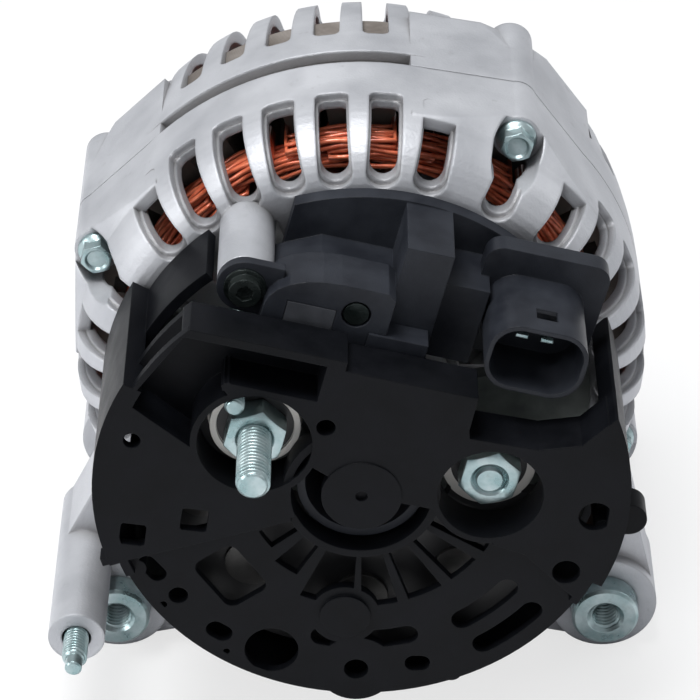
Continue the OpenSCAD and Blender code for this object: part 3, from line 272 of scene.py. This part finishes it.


# Zinc plated hardware
# Bolts, studs, nuts, bushes and screws are steel with a thin bright zinc coat, a cold pale blue
# with faint iridescent clouds and small dull spots, and painted shade in the roots of the threads.
ZINC_DARK = (0.25, 0.36, 0.37)
ZINC_PALE = (0.44, 0.53, 0.54)
ZINC_DULL = (0.26, 0.31, 0.31)
# Painted shade: the colour of the thread roots and other tight hollows.
ZINC_ROOT_SHADE = (0.05, 0.10, 0.09)
ZINC_METALLIC = 0.85
ZINC_EDGE_R = 0.3 * MM
ROOT_REACH = 1.2 * MM
CLOUD_SCALE = 180
DULL_SCALE = 700
ZINC_GRIT_SCALE = 2500
ZINC_GRIT_DEPTH = 0.02 * MM


def zinc_coat():
    material, tree, shader = new_material("zinc_plate")
    cloud = grain(tree, CLOUD_SCALE, 3)
    tint = colour_mix(tree, remap(tree, cloud, 0.35, 0.65, 0, 1), ZINC_DARK, ZINC_PALE)
    dull = remap(tree, grain(tree, DULL_SCALE, 4), 0.55, 0.75, 0, 0.5)
    worn = colour_mix(tree, dull, tint, ZINC_DULL)
    # Painted shade: darker in the roots of the threads and other tight hollows.
    root_shade = remap(tree, crevice(tree, ROOT_REACH), 0.2, 0.85, 0.8, 0)
    tree.links.new(colour_mix(tree, root_shade, worn, ZINC_ROOT_SHADE), shader.inputs["Base Color"])
    tree.links.new(remap(tree, cloud, 0.3, 0.7, 0.24, 0.40), shader.inputs["Roughness"])
    shader.inputs["Metallic"].default_value = ZINC_METALLIC
    relief(tree, shader, grain(tree, ZINC_GRIT_SCALE, 2), ZINC_GRIT_DEPTH, ZINC_EDGE_R)
    return material


zinc_plate = zinc_coat()
dress(
    [
        "connector_pins", "rectifier_screws", "bearing_retainer", "retainer_screws",
        "rear_ball_cage", "front_ball_cage",
    ],
    zinc_plate,
)


# Threaded studs
# The terminal studs, the stud in the cast tube and the small earth stud are rolled steel with a
# full thread and a chamfered end. The terminal studs have a hexagon head behind the plate.
STUD_R = 4 * MM
STUD_PITCH = 1.25 * MM
STUD_HEAD_H = 4.5 * MM
STUD_HEAD_AF = 13 * MM
SIDE_R = 3 * MM
SIDE_PITCH = 1.0 * MM
SIDE_POINT_R = 2 * MM
SIDE_POINT_LEN = 3.5 * MM
SIDE_POINT_EDGE = 0.4 * MM
EARTH_R = 2.35 * MM
EARTH_PITCH = 0.8 * MM
THREAD_STEPS = 36
THREAD_ROWS = 8
THREAD_DEPTH = 0.6
CREST_HALF = 0.06
FLANK_SPAN = 0.40
END_CHAMFER = 0.85
HEX_TURN = math.radians(15)
HEX_FLAT_EDGE = 0.15 * MM
HEX_CORNER_ROOM = 0.5 * MM
HEX_SLOPE = 0.55
OVERLAP = 0.2 * MM
TURNED_STEPS = 48
MERGE_AT = 0.001 * MM
CUT_MERGE_AT = 0.005 * MM
SHARP_FROM = math.radians(35)


def pick(piece):
    bpy.ops.object.select_all(action="DESELECT")
    piece.select_set(True)
    bpy.context.view_layer.objects.active = piece


def weld(distance):
    bpy.ops.object.mode_set(mode="EDIT")
    bpy.ops.mesh.select_all(action="SELECT")
    bpy.ops.mesh.remove_doubles(threshold=distance)
    bpy.ops.mesh.dissolve_degenerate(threshold=distance)
    bpy.ops.object.mode_set(mode="OBJECT")


def drawn_line(name, points):
    bpy.ops.object.select_all(action="DESELECT")
    bpy.ops.mesh.primitive_plane_add(size=MM, location=(0, 0, 0))
    line = bpy.context.object
    line.name = name
    bpy.ops.object.mode_set(mode="EDIT")
    bpy.ops.mesh.select_all(action="SELECT")
    bpy.ops.mesh.merge(type="CENTER")
    bpy.ops.transform.translate(value=(*points[0], 0))
    for before, after in zip(points, points[1:]):
        step = (after[0] - before[0], after[1] - before[1], 0)
        bpy.ops.mesh.extrude_vertices_move(TRANSFORM_OT_translate={"value": step})
    bpy.ops.object.mode_set(mode="OBJECT")
    return line


def turned(name, points, centre=(0, 0), steps=TURNED_STEPS):
    piece = drawn_line(name, points)
    bpy.ops.object.mode_set(mode="EDIT")
    bpy.ops.mesh.select_all(action="SELECT")
    bpy.ops.mesh.spin(steps=steps, angle=2 * math.pi, center=(0, 0, 0), axis=(0, 1, 0))
    bpy.ops.mesh.select_all(action="SELECT")
    bpy.ops.mesh.remove_doubles(threshold=MERGE_AT)
    bpy.ops.mesh.normals_make_consistent(inside=False)
    bpy.ops.transform.translate(value=(centre[0], 0, centre[1]))
    bpy.ops.object.mode_set(mode="OBJECT")
    bpy.ops.object.shade_smooth_by_angle(angle=SHARP_FROM)
    return piece


def cut(piece, tool, operation="DIFFERENCE"):
    step = piece.modifiers.new("cut", "BOOLEAN")
    step.operation = operation
    step.solver = "EXACT"
    step.object = tool
    pick(piece)
    bpy.ops.object.modifier_apply(modifier="cut")
    bpy.data.objects.remove(tool)
    weld(CUT_MERGE_AT)
    bpy.ops.object.shade_smooth_by_angle(angle=SHARP_FROM)
    return piece


def threaded(name, centre, radius, pitch, low, high, low_chamfer=0):
    rows = int((high - low) / pitch * THREAD_ROWS)
    line = [(radius, low + (high - low) * row / rows) for row in range(rows + 1)]
    rod = turned(name, [(0, low), *line, (0, high)], steps=THREAD_STEPS)
    for vertex in rod.data.vertices:
        x, y, z = vertex.co
        reach = math.hypot(x, z)
        if reach > radius / 2:
            turn_share = (y / pitch - math.atan2(z, x) / (2 * math.pi)) % 1
            tooth = min(max((abs(turn_share - 0.5) - CREST_HALF) / FLANK_SPAN, 0), 1)
            new = radius - THREAD_DEPTH * pitch * tooth
            if low_chamfer:
                new = min(new, radius - low_chamfer + y - low)
            vertex.co = (x * new / reach, y, z * new / reach)
    rod.data.transform(Matrix.Translation((centre[0], 0, centre[1])))
    return rod


def stud_rod(name, centre, radius, pitch, low, high):
    return threaded(name, centre, radius, pitch, low, high, END_CHAMFER * pitch)


def hexagon(name, centre, across, low, high, low_chamfer, high_chamfer):
    corner = across / 2 / math.cos(math.pi / 6)
    bpy.ops.object.select_all(action="DESELECT")
    bpy.ops.mesh.primitive_cylinder_add(
        vertices=6, radius=corner, depth=high - low, rotation=(math.pi / 2, HEX_TURN, 0),
        location=(centre[0], (low + high) / 2, centre[1]),
    )
    block = bpy.context.object
    block.name = name
    bpy.ops.object.transform_apply(location=True, rotation=True, scale=True)
    over = corner + HEX_CORNER_ROOM
    flat = across / 2 - HEX_FLAT_EDGE
    rise = (over - flat) * HEX_SLOPE
    points = [(0, low)]
    points += [(flat, low), (over, low + rise)] if low_chamfer else [(over, low)]
    points += [(over, high - rise), (flat, high)] if high_chamfer else [(over, high)]
    return cut(block, turned("blank", points + [(0, high)], centre), "INTERSECT")


def joined(first, *others):
    pick(first)
    for piece in others:
        piece.select_set(True)
    bpy.ops.object.join()
    return first


def middle(node):
    low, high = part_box(node)
    return ((low[0] + high[0]) / 2, (low[2] + high[2]) / 2)


def fitted(piece, material, body, node):
    piece.data.materials.clear()
    piece.data.materials.append(material)
    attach(piece, body)
    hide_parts(node)


for node in ("main_stud", "second_stud"):
    low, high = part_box(node)
    shoulder = high[1] - STUD_HEAD_H
    rod = stud_rod(node + "_rod", middle(node), STUD_R, STUD_PITCH, low[1], shoulder + OVERLAP)
    head = hexagon(node + "_head", middle(node), STUD_HEAD_AF, shoulder, high[1], False, True)
    fitted(joined(rod, head), zinc_plate, "housing", node)

low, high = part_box("side_stud")
point_end = low[1] + SIDE_POINT_LEN
rod = stud_rod("side_stud_rod", middle("side_stud"), SIDE_R, SIDE_PITCH, point_end, high[1])
point_line = [
    (0, low[1]),
    (SIDE_POINT_R - SIDE_POINT_EDGE, low[1]),
    (SIDE_POINT_R, low[1] + SIDE_POINT_EDGE),
    (SIDE_POINT_R, point_end + OVERLAP),
    (0, point_end + OVERLAP),
]
point = turned("side_stud_point", point_line, middle("side_stud"))
fitted(joined(rod, point), zinc_plate, "housing", "side_stud")

low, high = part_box("cover_stud")
rod = stud_rod("earth_stud_rod", middle("cover_stud"), EARTH_R, EARTH_PITCH, low[1], high[1])
fitted(rod, zinc_plate, "housing", "cover_stud")


# Nuts
# The terminal nuts are hexagons with a turned chamfer at both ends and a countersunk threaded
# hole. The pulley nut has a washer flange forged to it.
NUT_AF = 13 * MM
NUT_MOUTH = 0.5 * MM
NUT_MINOR = 0.45 * MM
TOOL_PAST = 1 * MM
PULLEY_NUT_AF = 24 * MM
PULLEY_NUT_FLANGE = 1.6 * MM
PULLEY_NUT_RIM = 1 * MM
PULLEY_NUT_RIM_TOP = 0.9 * MM
PULLEY_NUT_SLOPE = 1.2 * MM
PULLEY_NUT_EDGE = 0.3 * MM
PULLEY_NUT_HEX_UP = 0.8 * MM
PULLEY_NUT_MOUTH = 1.2 * MM
SHAFT_THREAD_R = 8 * MM
SHAFT_MINOR = 0.5 * MM

for node in ("main_nut", "second_nut"):
    low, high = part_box(node)
    nut = hexagon(node + "_body", middle(node), NUT_AF, low[1], high[1], True, True)
    mouth = STUD_R + NUT_MOUTH
    bore_r = STUD_R - NUT_MINOR
    bore = [
        (0, low[1] - TOOL_PAST),
        (mouth + TOOL_PAST, low[1] - TOOL_PAST),
        (bore_r, low[1] + mouth - bore_r),
        (bore_r, high[1] - TOOL_PAST),
        (mouth, high[1] + TOOL_PAST),
        (0, high[1] + TOOL_PAST),
    ]
    nut = cut(nut, turned("bore", bore, middle(node)))
    fitted(nut, zinc_plate, "housing", node)

low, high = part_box("pulley_nut")
hex_low = low[1] + PULLEY_NUT_HEX_UP
nut = hexagon("pulley_nut_body", (0, 0), PULLEY_NUT_AF, hex_low, high[1], False, True)
rim = PULLEY_NUT_AF / 2 + PULLEY_NUT_RIM
flange_line = [
    (0, low[1]),
    (rim - PULLEY_NUT_EDGE, low[1]),
    (rim, low[1] + PULLEY_NUT_EDGE),
    (rim, low[1] + PULLEY_NUT_RIM_TOP),
    (rim - PULLEY_NUT_SLOPE, low[1] + PULLEY_NUT_FLANGE),
    (0, low[1] + PULLEY_NUT_FLANGE),
]
nut = cut(nut, turned("flange", flange_line), "UNION")
bore_r = SHAFT_THREAD_R - SHAFT_MINOR
bore = [
    (0, low[1] - TOOL_PAST),
    (bore_r, low[1] - TOOL_PAST),
    (bore_r, high[1] - PULLEY_NUT_MOUTH),
    (bore_r + TOOL_PAST + PULLEY_NUT_MOUTH, high[1] + TOOL_PAST),
    (0, high[1] + TOOL_PAST),
]
nut = cut(nut, turned("bore", bore))
fitted(nut, zinc_plate, "rotor", "pulley_nut")


# Lug bushes
# The bushes pressed into the rear lugs are turned steel with a wide chamfer at the mouth and a
# thread for the lug bolt. They can be drawn along the lug to clamp the engine bracket.
BUSH_BORE_R = 3.9 * MM
BUSH_PITCH = 1.25 * MM
BUSH_EDGE = 0.7 * MM
BUSH_MOUTH_DEPTH = 1.1 * MM
BUSH_MOUTH_PAST = 0.2 * MM
BUSH_STEPS = 64

for node, body in (("lug_bush_left", "left_bush"), ("lug_bush_right", "right_bush")):
    low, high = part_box(node)
    outer = (high[0] - low[0]) / 2
    line = [
        (0, low[1]),
        (outer - BUSH_EDGE, low[1]),
        (outer, low[1] + BUSH_EDGE),
        (outer, high[1] - BUSH_EDGE),
        (outer - BUSH_EDGE, high[1]),
        (0, high[1]),
    ]
    bush = turned(node + "_body", line, middle(node), BUSH_STEPS)
    mouth = BUSH_BORE_R + BUSH_EDGE
    cone = [
        (0, low[1] - BUSH_MOUTH_PAST),
        (mouth + BUSH_MOUTH_PAST, low[1] - BUSH_MOUTH_PAST),
        (mouth - BUSH_MOUTH_DEPTH, low[1] + BUSH_MOUTH_DEPTH),
        (0, low[1] + BUSH_MOUTH_DEPTH),
    ]
    bush = cut(bush, turned("mouth", cone, middle(node), BUSH_STEPS))
    tap_low, tap_high = low[1] - TOOL_PAST, high[1] + TOOL_PAST
    tap = threaded("tap", middle(node), BUSH_BORE_R, BUSH_PITCH, tap_low, tap_high)
    fitted(cut(bush, tap), zinc_plate, body, node)


# Through bolts
# Four long flange bolts pull the brackets together over the core. Each has a small hexagon with a
# round pressed end, a washer flange, a plain shank and a thread at the far end.
BOLT_CIRCLE_R = 69 * MM
BOLT_ANGLES = (58, 156.5, 238, 336.5)
BOLT_R = 2.5 * MM
BOLT_PITCH = 0.8 * MM
BOLT_THREAD = 20 * MM
BOLT_AF = 7 * MM
BOLT_HEAD_H = 5 * MM
BOLT_HEX_END = 0.8 * MM
DISH_R = BOLT_AF * 0.33
DISH_RIM = 0.5 * MM
DISH_DEPTH = 0.6 * MM
FLANGE_R = BOLT_AF * 0.68
FLANGE_TOP_R = BOLT_AF * 0.52
FLANGE_H = 1.9 * MM
FLANGE_SLOPE_H = 1.0 * MM
FLANGE_EDGE_H = 0.7 * MM
FLANGE_EDGE = 0.2 * MM
BOLT_STEPS = 32

low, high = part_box("through_bolts")
seat = low[1] + BOLT_HEAD_H
hex_end = seat - BOLT_HEX_END
head = hexagon("through_bolt_set", (0, 0), BOLT_AF, low[1], hex_end, True, False)
dish_y = low[1] + DISH_DEPTH
dish = [
    (0, low[1] - TOOL_PAST),
    (DISH_R + DISH_RIM, low[1] - TOOL_PAST),
    (DISH_R + DISH_RIM, low[1]),
    (DISH_R, dish_y),
    (0, dish_y),
]
head = cut(head, turned("dish", dish, steps=BOLT_STEPS))
shank_end = high[1] - BOLT_THREAD
shank_line = [
    (0, seat - FLANGE_H),
    (FLANGE_TOP_R, seat - FLANGE_H),
    (FLANGE_R - FLANGE_EDGE, seat - FLANGE_SLOPE_H),
    (FLANGE_R, seat - FLANGE_EDGE_H),
    (FLANGE_R, seat),
    (BOLT_R, seat),
    (BOLT_R, shank_end),
    (0, shank_end),
]
tail = stud_rod("bolt_tail", (0, 0), BOLT_R, BOLT_PITCH, shank_end - OVERLAP / 2, high[1])
bolt = joined(head, turned("shank", shank_line, steps=BOLT_STEPS), tail)
bolts = [bolt]
for angle in BOLT_ANGLES[1:]:
    other = bolt.copy()
    other.data = bolt.data.copy()
    scene.collection.objects.link(other)
    bolts.append(other)
for bolt, angle in zip(bolts, BOLT_ANGLES):
    turn = math.radians(angle)
    place = (BOLT_CIRCLE_R * math.cos(turn), 0, BOLT_CIRCLE_R * math.sin(turn))
    bolt.data.transform(Matrix.Translation(place))
fitted(joined(*bolts), zinc_plate, "housing", "through_bolts")


# Stator core
# The core is a stack of half-millimetre steel sheets, so its outside shows fine lines across
# the shaft, with grey-brown varnish over them.
SHEET_PITCH = 0.65 * MM
SHEET_DARK = (0.17, 0.145, 0.125)
SHEET_PALE = (0.30, 0.27, 0.245)
SHEET_SEAM = (0.05, 0.045, 0.04)
SHEET_METALLIC = 0.45
SHEET_ROUGH = 0.45
SHEET_GROOVE = 0.08 * MM
VARNISH_SCALE = 120


def sheet_stack():
    material, tree, shader = new_material("stacked_sheets")
    split = shader_node(tree, "ShaderNodeSeparateXYZ")
    tree.links.new(object_point(tree), split.inputs[0])
    turns = calculate(tree, "MULTIPLY", split.outputs["Y"], 2 * math.pi / SHEET_PITCH)
    wave = calculate(tree, "SINE", turns)
    varnish = remap(tree, grain(tree, VARNISH_SCALE, 4), 0.35, 0.7, 0, 1)
    base = colour_mix(tree, varnish, SHEET_DARK, SHEET_PALE)
    seams = colour_mix(tree, remap(tree, wave, -1, -0.5, 0.6, 0), base, SHEET_SEAM)
    tree.links.new(seams, shader.inputs["Base Color"])
    shader.inputs["Metallic"].default_value = SHEET_METALLIC
    shader.inputs["Roughness"].default_value = SHEET_ROUGH
    relief(tree, shader, remap(tree, wave, -1, 1, 0, 1), SHEET_GROOVE, 0)
    return material


dress(["stator_core"], sheet_stack())


# Windings
# Each phase is a bundle of enamelled copper wires that leaves one slot, runs round the head and
# enters the slot three further on. The three phases lie on each other, orange-red under varnish.
# Painted shade darkens the gaps between the wires.
CORE_LOW, CORE_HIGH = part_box("stator_core")
SLOTS = 36
SLOTS_SPANNED = 3
WIRE_R = 0.66 * MM
LAYER_R = (51.2 * MM, 53.75 * MM, 56.3 * MM)
WIRE_ROWS = 6
WIRE_LAYERS = 2
ROW_STEP = 2 * WIRE_R * 0.98
LAYER_STEP = 2 * WIRE_R * 0.97
WIRE_POINTS = 10
SLOT_MARGIN = 0.07
HEAD_RISE = 4.2 * MM
INTO_SLOT = 2 * MM
WIRE_SWAY = 0.45 * MM
SWAY_IN_REACH = 0.7
WIRE_SKEW = 1.5 * MM
COIL_TURN = 1.7
ROW_TURN = 2.3
LAYER_TURN = 4.1
COPPER_DARK = (0.66, 0.11, 0.045)
COPPER_PALE = (0.95, 0.27, 0.14)
# Painted shade: the near black of the gaps between the wires.
COPPER_GAP_SHADE = (0.12, 0.014, 0.009)
COPPER_METALLIC = 0.2
COPPER_ROUGH = 0.30
VARNISH_WEIGHT = 0.5
DROP_SCALE = 420
DROP_DEPTH = 0.10 * MM
WIRE_GAP_REACH = 1.5 * MM


def enamel():
    material, tree, shader = new_material("enamelled_copper")
    drops = grain(tree, DROP_SCALE, 3)
    tint = colour_mix(tree, remap(tree, drops, 0.3, 0.7, 0, 1), COPPER_DARK, COPPER_PALE)
    # Painted shade: darker in the gaps between the wires.
    gap_shade = remap(tree, crevice(tree, WIRE_GAP_REACH), 0.15, 0.75, 0.85, 0)
    tree.links.new(colour_mix(tree, gap_shade, tint, COPPER_GAP_SHADE), shader.inputs["Base Color"])
    shader.inputs["Metallic"].default_value = COPPER_METALLIC
    shader.inputs["Roughness"].default_value = COPPER_ROUGH
    shader.inputs["Coat Weight"].default_value = VARNISH_WEIGHT
    relief(tree, shader, drops, DROP_DEPTH, 0)
    return material


def wire_path(phase, coil, layer, row, face, outward):
    start = 2 * math.pi * (phase + SLOTS_SPANNED * coil) / SLOTS
    span = 2 * math.pi * SLOTS_SPANNED / SLOTS
    phase_turn = COIL_TURN * coil + ROW_TURN * row + LAYER_TURN * layer + phase
    points = []
    for step in range(-1, WIRE_POINTS + 2):
        share = min(max(step / WIRE_POINTS, 0), 1)
        angle = start + span * (SLOT_MARGIN + (1 - 2 * SLOT_MARGIN) * share)
        sway = WIRE_SWAY * math.sin(3 * math.pi * share + phase_turn)
        reach = LAYER_R[phase] + layer * LAYER_STEP + sway * SWAY_IN_REACH
        lift = -INTO_SLOT
        if 0 <= step <= WIRE_POINTS:
            skew = (0.5 - share) * WIRE_SKEW * math.cos(phase_turn)
            lift = HEAD_RISE + row * ROW_STEP + skew
        points.append((reach * math.cos(angle), face + outward * lift, reach * math.sin(angle)))
    return points


def wire_bundles(name, phase):
    data = bpy.data.curves.new(name, "CURVE")
    data.dimensions = "3D"
    data.bevel_depth = WIRE_R
    data.bevel_resolution = 1
    data.use_fill_caps = True
    for face, outward in ((CORE_LOW[1], -1), (CORE_HIGH[1], 1)):
        for coil in range(SLOTS // SLOTS_SPANNED):
            for layer in range(WIRE_LAYERS):
                for row in range(WIRE_ROWS):
                    points = wire_path(phase, coil, layer, row, face, outward)
                    spline = data.splines.new("POLY")
                    spline.points.add(len(points) - 1)
                    for index, place in enumerate(points):
                        spline.points[index].co = (*place, 1)
    piece = bpy.data.objects.new(name, data)
    scene.collection.objects.link(piece)
    pick(piece)
    bpy.ops.object.convert(target="MESH")
    weld(MERGE_AT)
    bpy.ops.object.shade_smooth()
    return bpy.context.object


enamelled_copper = enamel()
dress(["field_coil"], enamelled_copper)
for phase, node in enumerate(("phase_winding_u", "phase_winding_v", "phase_winding_w")):
    wires = wire_bundles("wires_" + node[-1], phase)
    fitted(wires, enamelled_copper, "housing", node)


# Turned and pressed steel
# The bearing rings, balls and spacers are ground bright, the fans are pressed sheet and the claw
# poles are forged. All are bare under a light oil film, and the slip rings are turned copper.
# Painted shade darkens their hollows.
GROUND_BRIGHT = (0.60, 0.61, 0.63)
PRESSED_GREY = (0.46, 0.47, 0.48)
FORGED_GREY = (0.20, 0.20, 0.205)
RING_COPPER = (0.72, 0.38, 0.22)
FILM_SHADE = 0.62
# Painted shade: the near black that hollows are darkened towards.
BARE_HOLLOW_SHADE = (0.05, 0.05, 0.05)
BARE_METALLIC = 0.9
BARE_EDGE_R = 0.2 * MM
HOLLOW_REACH = 5 * MM
FILM_SCALE = 240
TOOL_MARK_SCALE = 1800
TOOL_MARK_DEPTH = 0.02 * MM


def bare_steel(name, colour, rough):
    material, tree, shader = new_material(name)
    film = grain(tree, FILM_SCALE, 3)
    darker = tuple(FILM_SHADE * channel for channel in colour)
    bare = colour_mix(tree, remap(tree, film, 0.35, 0.7, 0, 1), darker, colour)
    # Painted shade: darker in the hollows of each part.
    hollow_shade = remap(tree, crevice(tree, HOLLOW_REACH), 0.3, 0.9, 0.85, 0)
    tree.links.new(colour_mix(tree, hollow_shade, bare, BARE_HOLLOW_SHADE), shader.inputs["Base Color"])
    patchy = remap(tree, film, 0.3, 0.7, rough - 0.08, rough + 0.08)
    tree.links.new(patchy, shader.inputs["Roughness"])
    shader.inputs["Metallic"].default_value = BARE_METALLIC
    relief(tree, shader, grain(tree, TOOL_MARK_SCALE, 2), TOOL_MARK_DEPTH, BARE_EDGE_R)
    return material


turned_steel = bare_steel("turned_steel", GROUND_BRIGHT, 0.28)
dress(
    [
        "rear_bearing_outer", "front_bearing_outer", "rear_bearing_inner",
        "front_bearing_inner", "front_spacer", "pulley_spacer", "rear_balls", "front_balls",
    ],
    turned_steel,
)
dress(["rear_fan", "front_fan"], bare_steel("pressed_steel", PRESSED_GREY, 0.40))
dress(["claw_pole_rear", "claw_pole_front"], bare_steel("forged_steel", FORGED_GREY, 0.50))
dress(["slip_rings"], bare_steel("turned_copper", RING_COPPER, 0.25))


# Rotor shaft
# The shaft is ground steel. Its front end has a hexagon socket, which holds it while the pulley
# nut is turned, and a cone that leads into the socket.
SOCKET_AF = 10 * MM
SOCKET_DEPTH = 9 * MM
LEAD_ROOM = 0.5 * MM


def merged_copy(name, node):
    piece = bpy.data.objects.new(name, frame["nodes"][node].data.copy())
    scene.collection.objects.link(piece)
    pick(piece)
    weld(MERGE_AT)
    return piece


shaft_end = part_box("rotor_shaft")[1][1]
shaft = merged_copy("ground_shaft", "rotor_shaft")
socket_floor = shaft_end - SOCKET_DEPTH
socket_past = shaft_end + TOOL_PAST
cut(shaft, hexagon("socket", (0, 0), SOCKET_AF, socket_floor, socket_past, False, False))
lead_r = SOCKET_AF / 2 + LEAD_ROOM
lead = [
    (0, shaft_end - lead_r),
    (lead_r + LEAD_ROOM, shaft_end + LEAD_ROOM),
    (0, shaft_end + LEAD_ROOM),
]
cut(shaft, turned("lead", lead))
fitted(shaft, turned_steel, "rotor", "rotor_shaft")


# Brush springs
# A coil spring in each guide presses the brush on its ring. It is squeezed between the brush and
# the closed end of the guide when the brush is pushed back.
WIRE_SHARP_FROM = math.radians(60)

for joint in frame["record"]["behaviour"]["joints"]:
    if joint["name"] in ("rear_brush_slide", "front_brush_slide"):
        node = "brush_spring_" + joint["name"].split("_")[0]
        spring = merged_copy(node + "_wire", node)
        bpy.ops.object.shade_smooth_by_angle(angle=WIRE_SHARP_FROM)
        fitted(spring, turned_steel, "housing", node)
        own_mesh(spring)


# Plastic mouldings
# The cover is glass-filled nylon, black and matt with a faint flow pattern, and its sharp edges
# catch the light. The regulator and brush holder are a harder, slate-blue moulding.
NYLON_BLACK = ((0.0022, 0.0026, 0.0036), (0.0045, 0.0050, 0.0068))
SLATE_BLUE = ((0.012, 0.0135, 0.018), (0.024, 0.027, 0.034))
NYLON_CREAM = ((0.55, 0.47, 0.33), (0.66, 0.58, 0.44))
RESIN_BROWN = ((0.10, 0.05, 0.03), (0.15, 0.08, 0.05))
CARBON_GREY = ((0.03, 0.028, 0.026), (0.06, 0.055, 0.05))
MOULD_DUST = (0.018, 0.019, 0.022)
MOULD_EDGE_R = 0.4 * MM
FLOW_SCALE = 90
DUST_SCALE = 900
PIT_SCALE = 2600
PIT_DEPTH = 0.04 * MM


def moulded(name, colours, rough, shine=0.38):
    material, tree, shader = new_material(name)
    flow = grain(tree, FLOW_SCALE, 4, 0.6)
    base = colour_mix(tree, remap(tree, flow, 0.35, 0.7, 0, 1), *colours)
    dust = remap(tree, grain(tree, DUST_SCALE, 5, 0.7), 0.60, 0.78, 0, 0.22)
    tree.links.new(colour_mix(tree, dust, base, MOULD_DUST), shader.inputs["Base Color"])
    patchy = remap(tree, flow, 0.3, 0.7, rough - 0.05, rough + 0.07)
    tree.links.new(patchy, shader.inputs["Roughness"])
    shader.inputs["Specular IOR Level"].default_value = shine
    relief(tree, shader, grain(tree, PIT_SCALE, 2), PIT_DEPTH, MOULD_EDGE_R)
    return material


black_nylon = moulded("black_nylon", NYLON_BLACK, 0.44, 0.10)
dress(["rear_cover", "wiring_frame", "slip_ring_carrier", "rear_bearing_sleeve"], black_nylon)
slate_plastic = moulded("slate_plastic", SLATE_BLUE, 0.42, 0.20)
dress(["regulator_body", "brush_holder"], slate_plastic)
dress(["coil_bobbin"], moulded("natural_nylon", NYLON_CREAM, 0.45))
dress(["rectifier_posts"], moulded("brown_insulator", RESIN_BROWN, 0.5))
dress(["brush_rear", "brush_front"], moulded("pressed_carbon", CARBON_GREY, 0.6))


# Rectifier plates, regulator fittings and pulley
# Both heat sinks are blanked aluminium. The positive one is coloured near black as painted shade,
# with a painted highlight ring round each terminal; the negative one has a grey-green coat, and the
# pulley a black one.
# Painted highlight: a pale ring round each terminal stands in for a lit rim.
HIGHLIGHT_IN_R = 8.9 * MM
HIGHLIGHT_OUT_R = 11.2 * MM
SEAT_HIGHLIGHT = (0.66, 0.64, 0.60)
SINK_ANODISED = ((0.045, 0.048, 0.056), (0.07, 0.074, 0.085))
SCREW_BLACK = ((0.012, 0.018, 0.017), (0.05, 0.06, 0.058))
DIODE_TIN = ((0.045, 0.044, 0.043), (0.10, 0.098, 0.095))
# Painted shade: the positive plate is made near black for the dark inside of the cover.
PLATE_SHADE_BLACK = ((0.010, 0.010, 0.011), (0.022, 0.022, 0.024))
PLATE_GREEN = ((0.10, 0.115, 0.11), (0.17, 0.19, 0.18))
PULLEY_BLACK = ((0.012, 0.012, 0.013), (0.02, 0.02, 0.022))
PLATE_EDGE_R = 0.3 * MM
TONE_SCALE = 130
PLATE_GRIT_SCALE = 1600
PLATE_GRIT_DEPTH = 0.03 * MM


# Paints a pale highlight ring round each terminal stud, in place of a lit rim.
def painted_seat_highlights(tree, coat):
    split = shader_node(tree, "ShaderNodeSeparateXYZ")
    tree.links.new(object_point(tree), split.inputs[0])
    for node in ("main_stud", "second_stud"):
        axis_x, axis_z = middle(node)
        aside = calculate(tree, "SUBTRACT", split.outputs["X"], axis_x)
        above = calculate(tree, "SUBTRACT", split.outputs["Z"], axis_z)
        squares = [calculate(tree, "MULTIPLY", value, value) for value in (aside, above)]
        reach = calculate(tree, "SQRT", calculate(tree, "ADD", *squares))
        inside = calculate(tree, "LESS_THAN", reach, HIGHLIGHT_OUT_R)
        outside = calculate(tree, "GREATER_THAN", reach, HIGHLIGHT_IN_R)
        coat = colour_mix(tree, calculate(tree, "MULTIPLY", inside, outside), coat, SEAT_HIGHLIGHT)
    return coat


def plate_metal(name, colours, metallic, rough, with_highlight_rings=False):
    material, tree, shader = new_material(name)
    tone = grain(tree, TONE_SCALE, 4)
    coat = colour_mix(tree, remap(tree, tone, 0.35, 0.65, 0, 1), *colours)
    tree.links.new(painted_seat_highlights(tree, coat) if with_highlight_rings else coat, shader.inputs["Base Color"])
    patchy = remap(tree, tone, 0.3, 0.7, rough - 0.06, rough + 0.08)
    tree.links.new(patchy, shader.inputs["Roughness"])
    shader.inputs["Metallic"].default_value = metallic
    relief(tree, shader, grain(tree, PLATE_GRIT_SCALE, 2), PLATE_GRIT_DEPTH, PLATE_EDGE_R)
    return material


dress(["regulator_heat_sink"], plate_metal("anodised_sink", SINK_ANODISED, 0.3, 0.45))
dress(["regulator_screws"], plate_metal("black_zinc", SCREW_BLACK, 0.75, 0.24))
dress(
    ["positive_diodes", "negative_diodes"],
    plate_metal("tinned_copper", DIODE_TIN, 0.6, 0.42),
)
# The positive plate gets painted shade for its colour and painted highlight rings round the
# terminals.
dress(["positive_plate"], plate_metal("shade_black_plate", PLATE_SHADE_BLACK, 0.15, 0.42, True))
dress(["negative_plate"], plate_metal("coated_plate", PLATE_GREEN, 0.2, 0.5))
dress(["pulley"], plate_metal("black_coated_steel", PULLEY_BLACK, 0.3, 0.38))
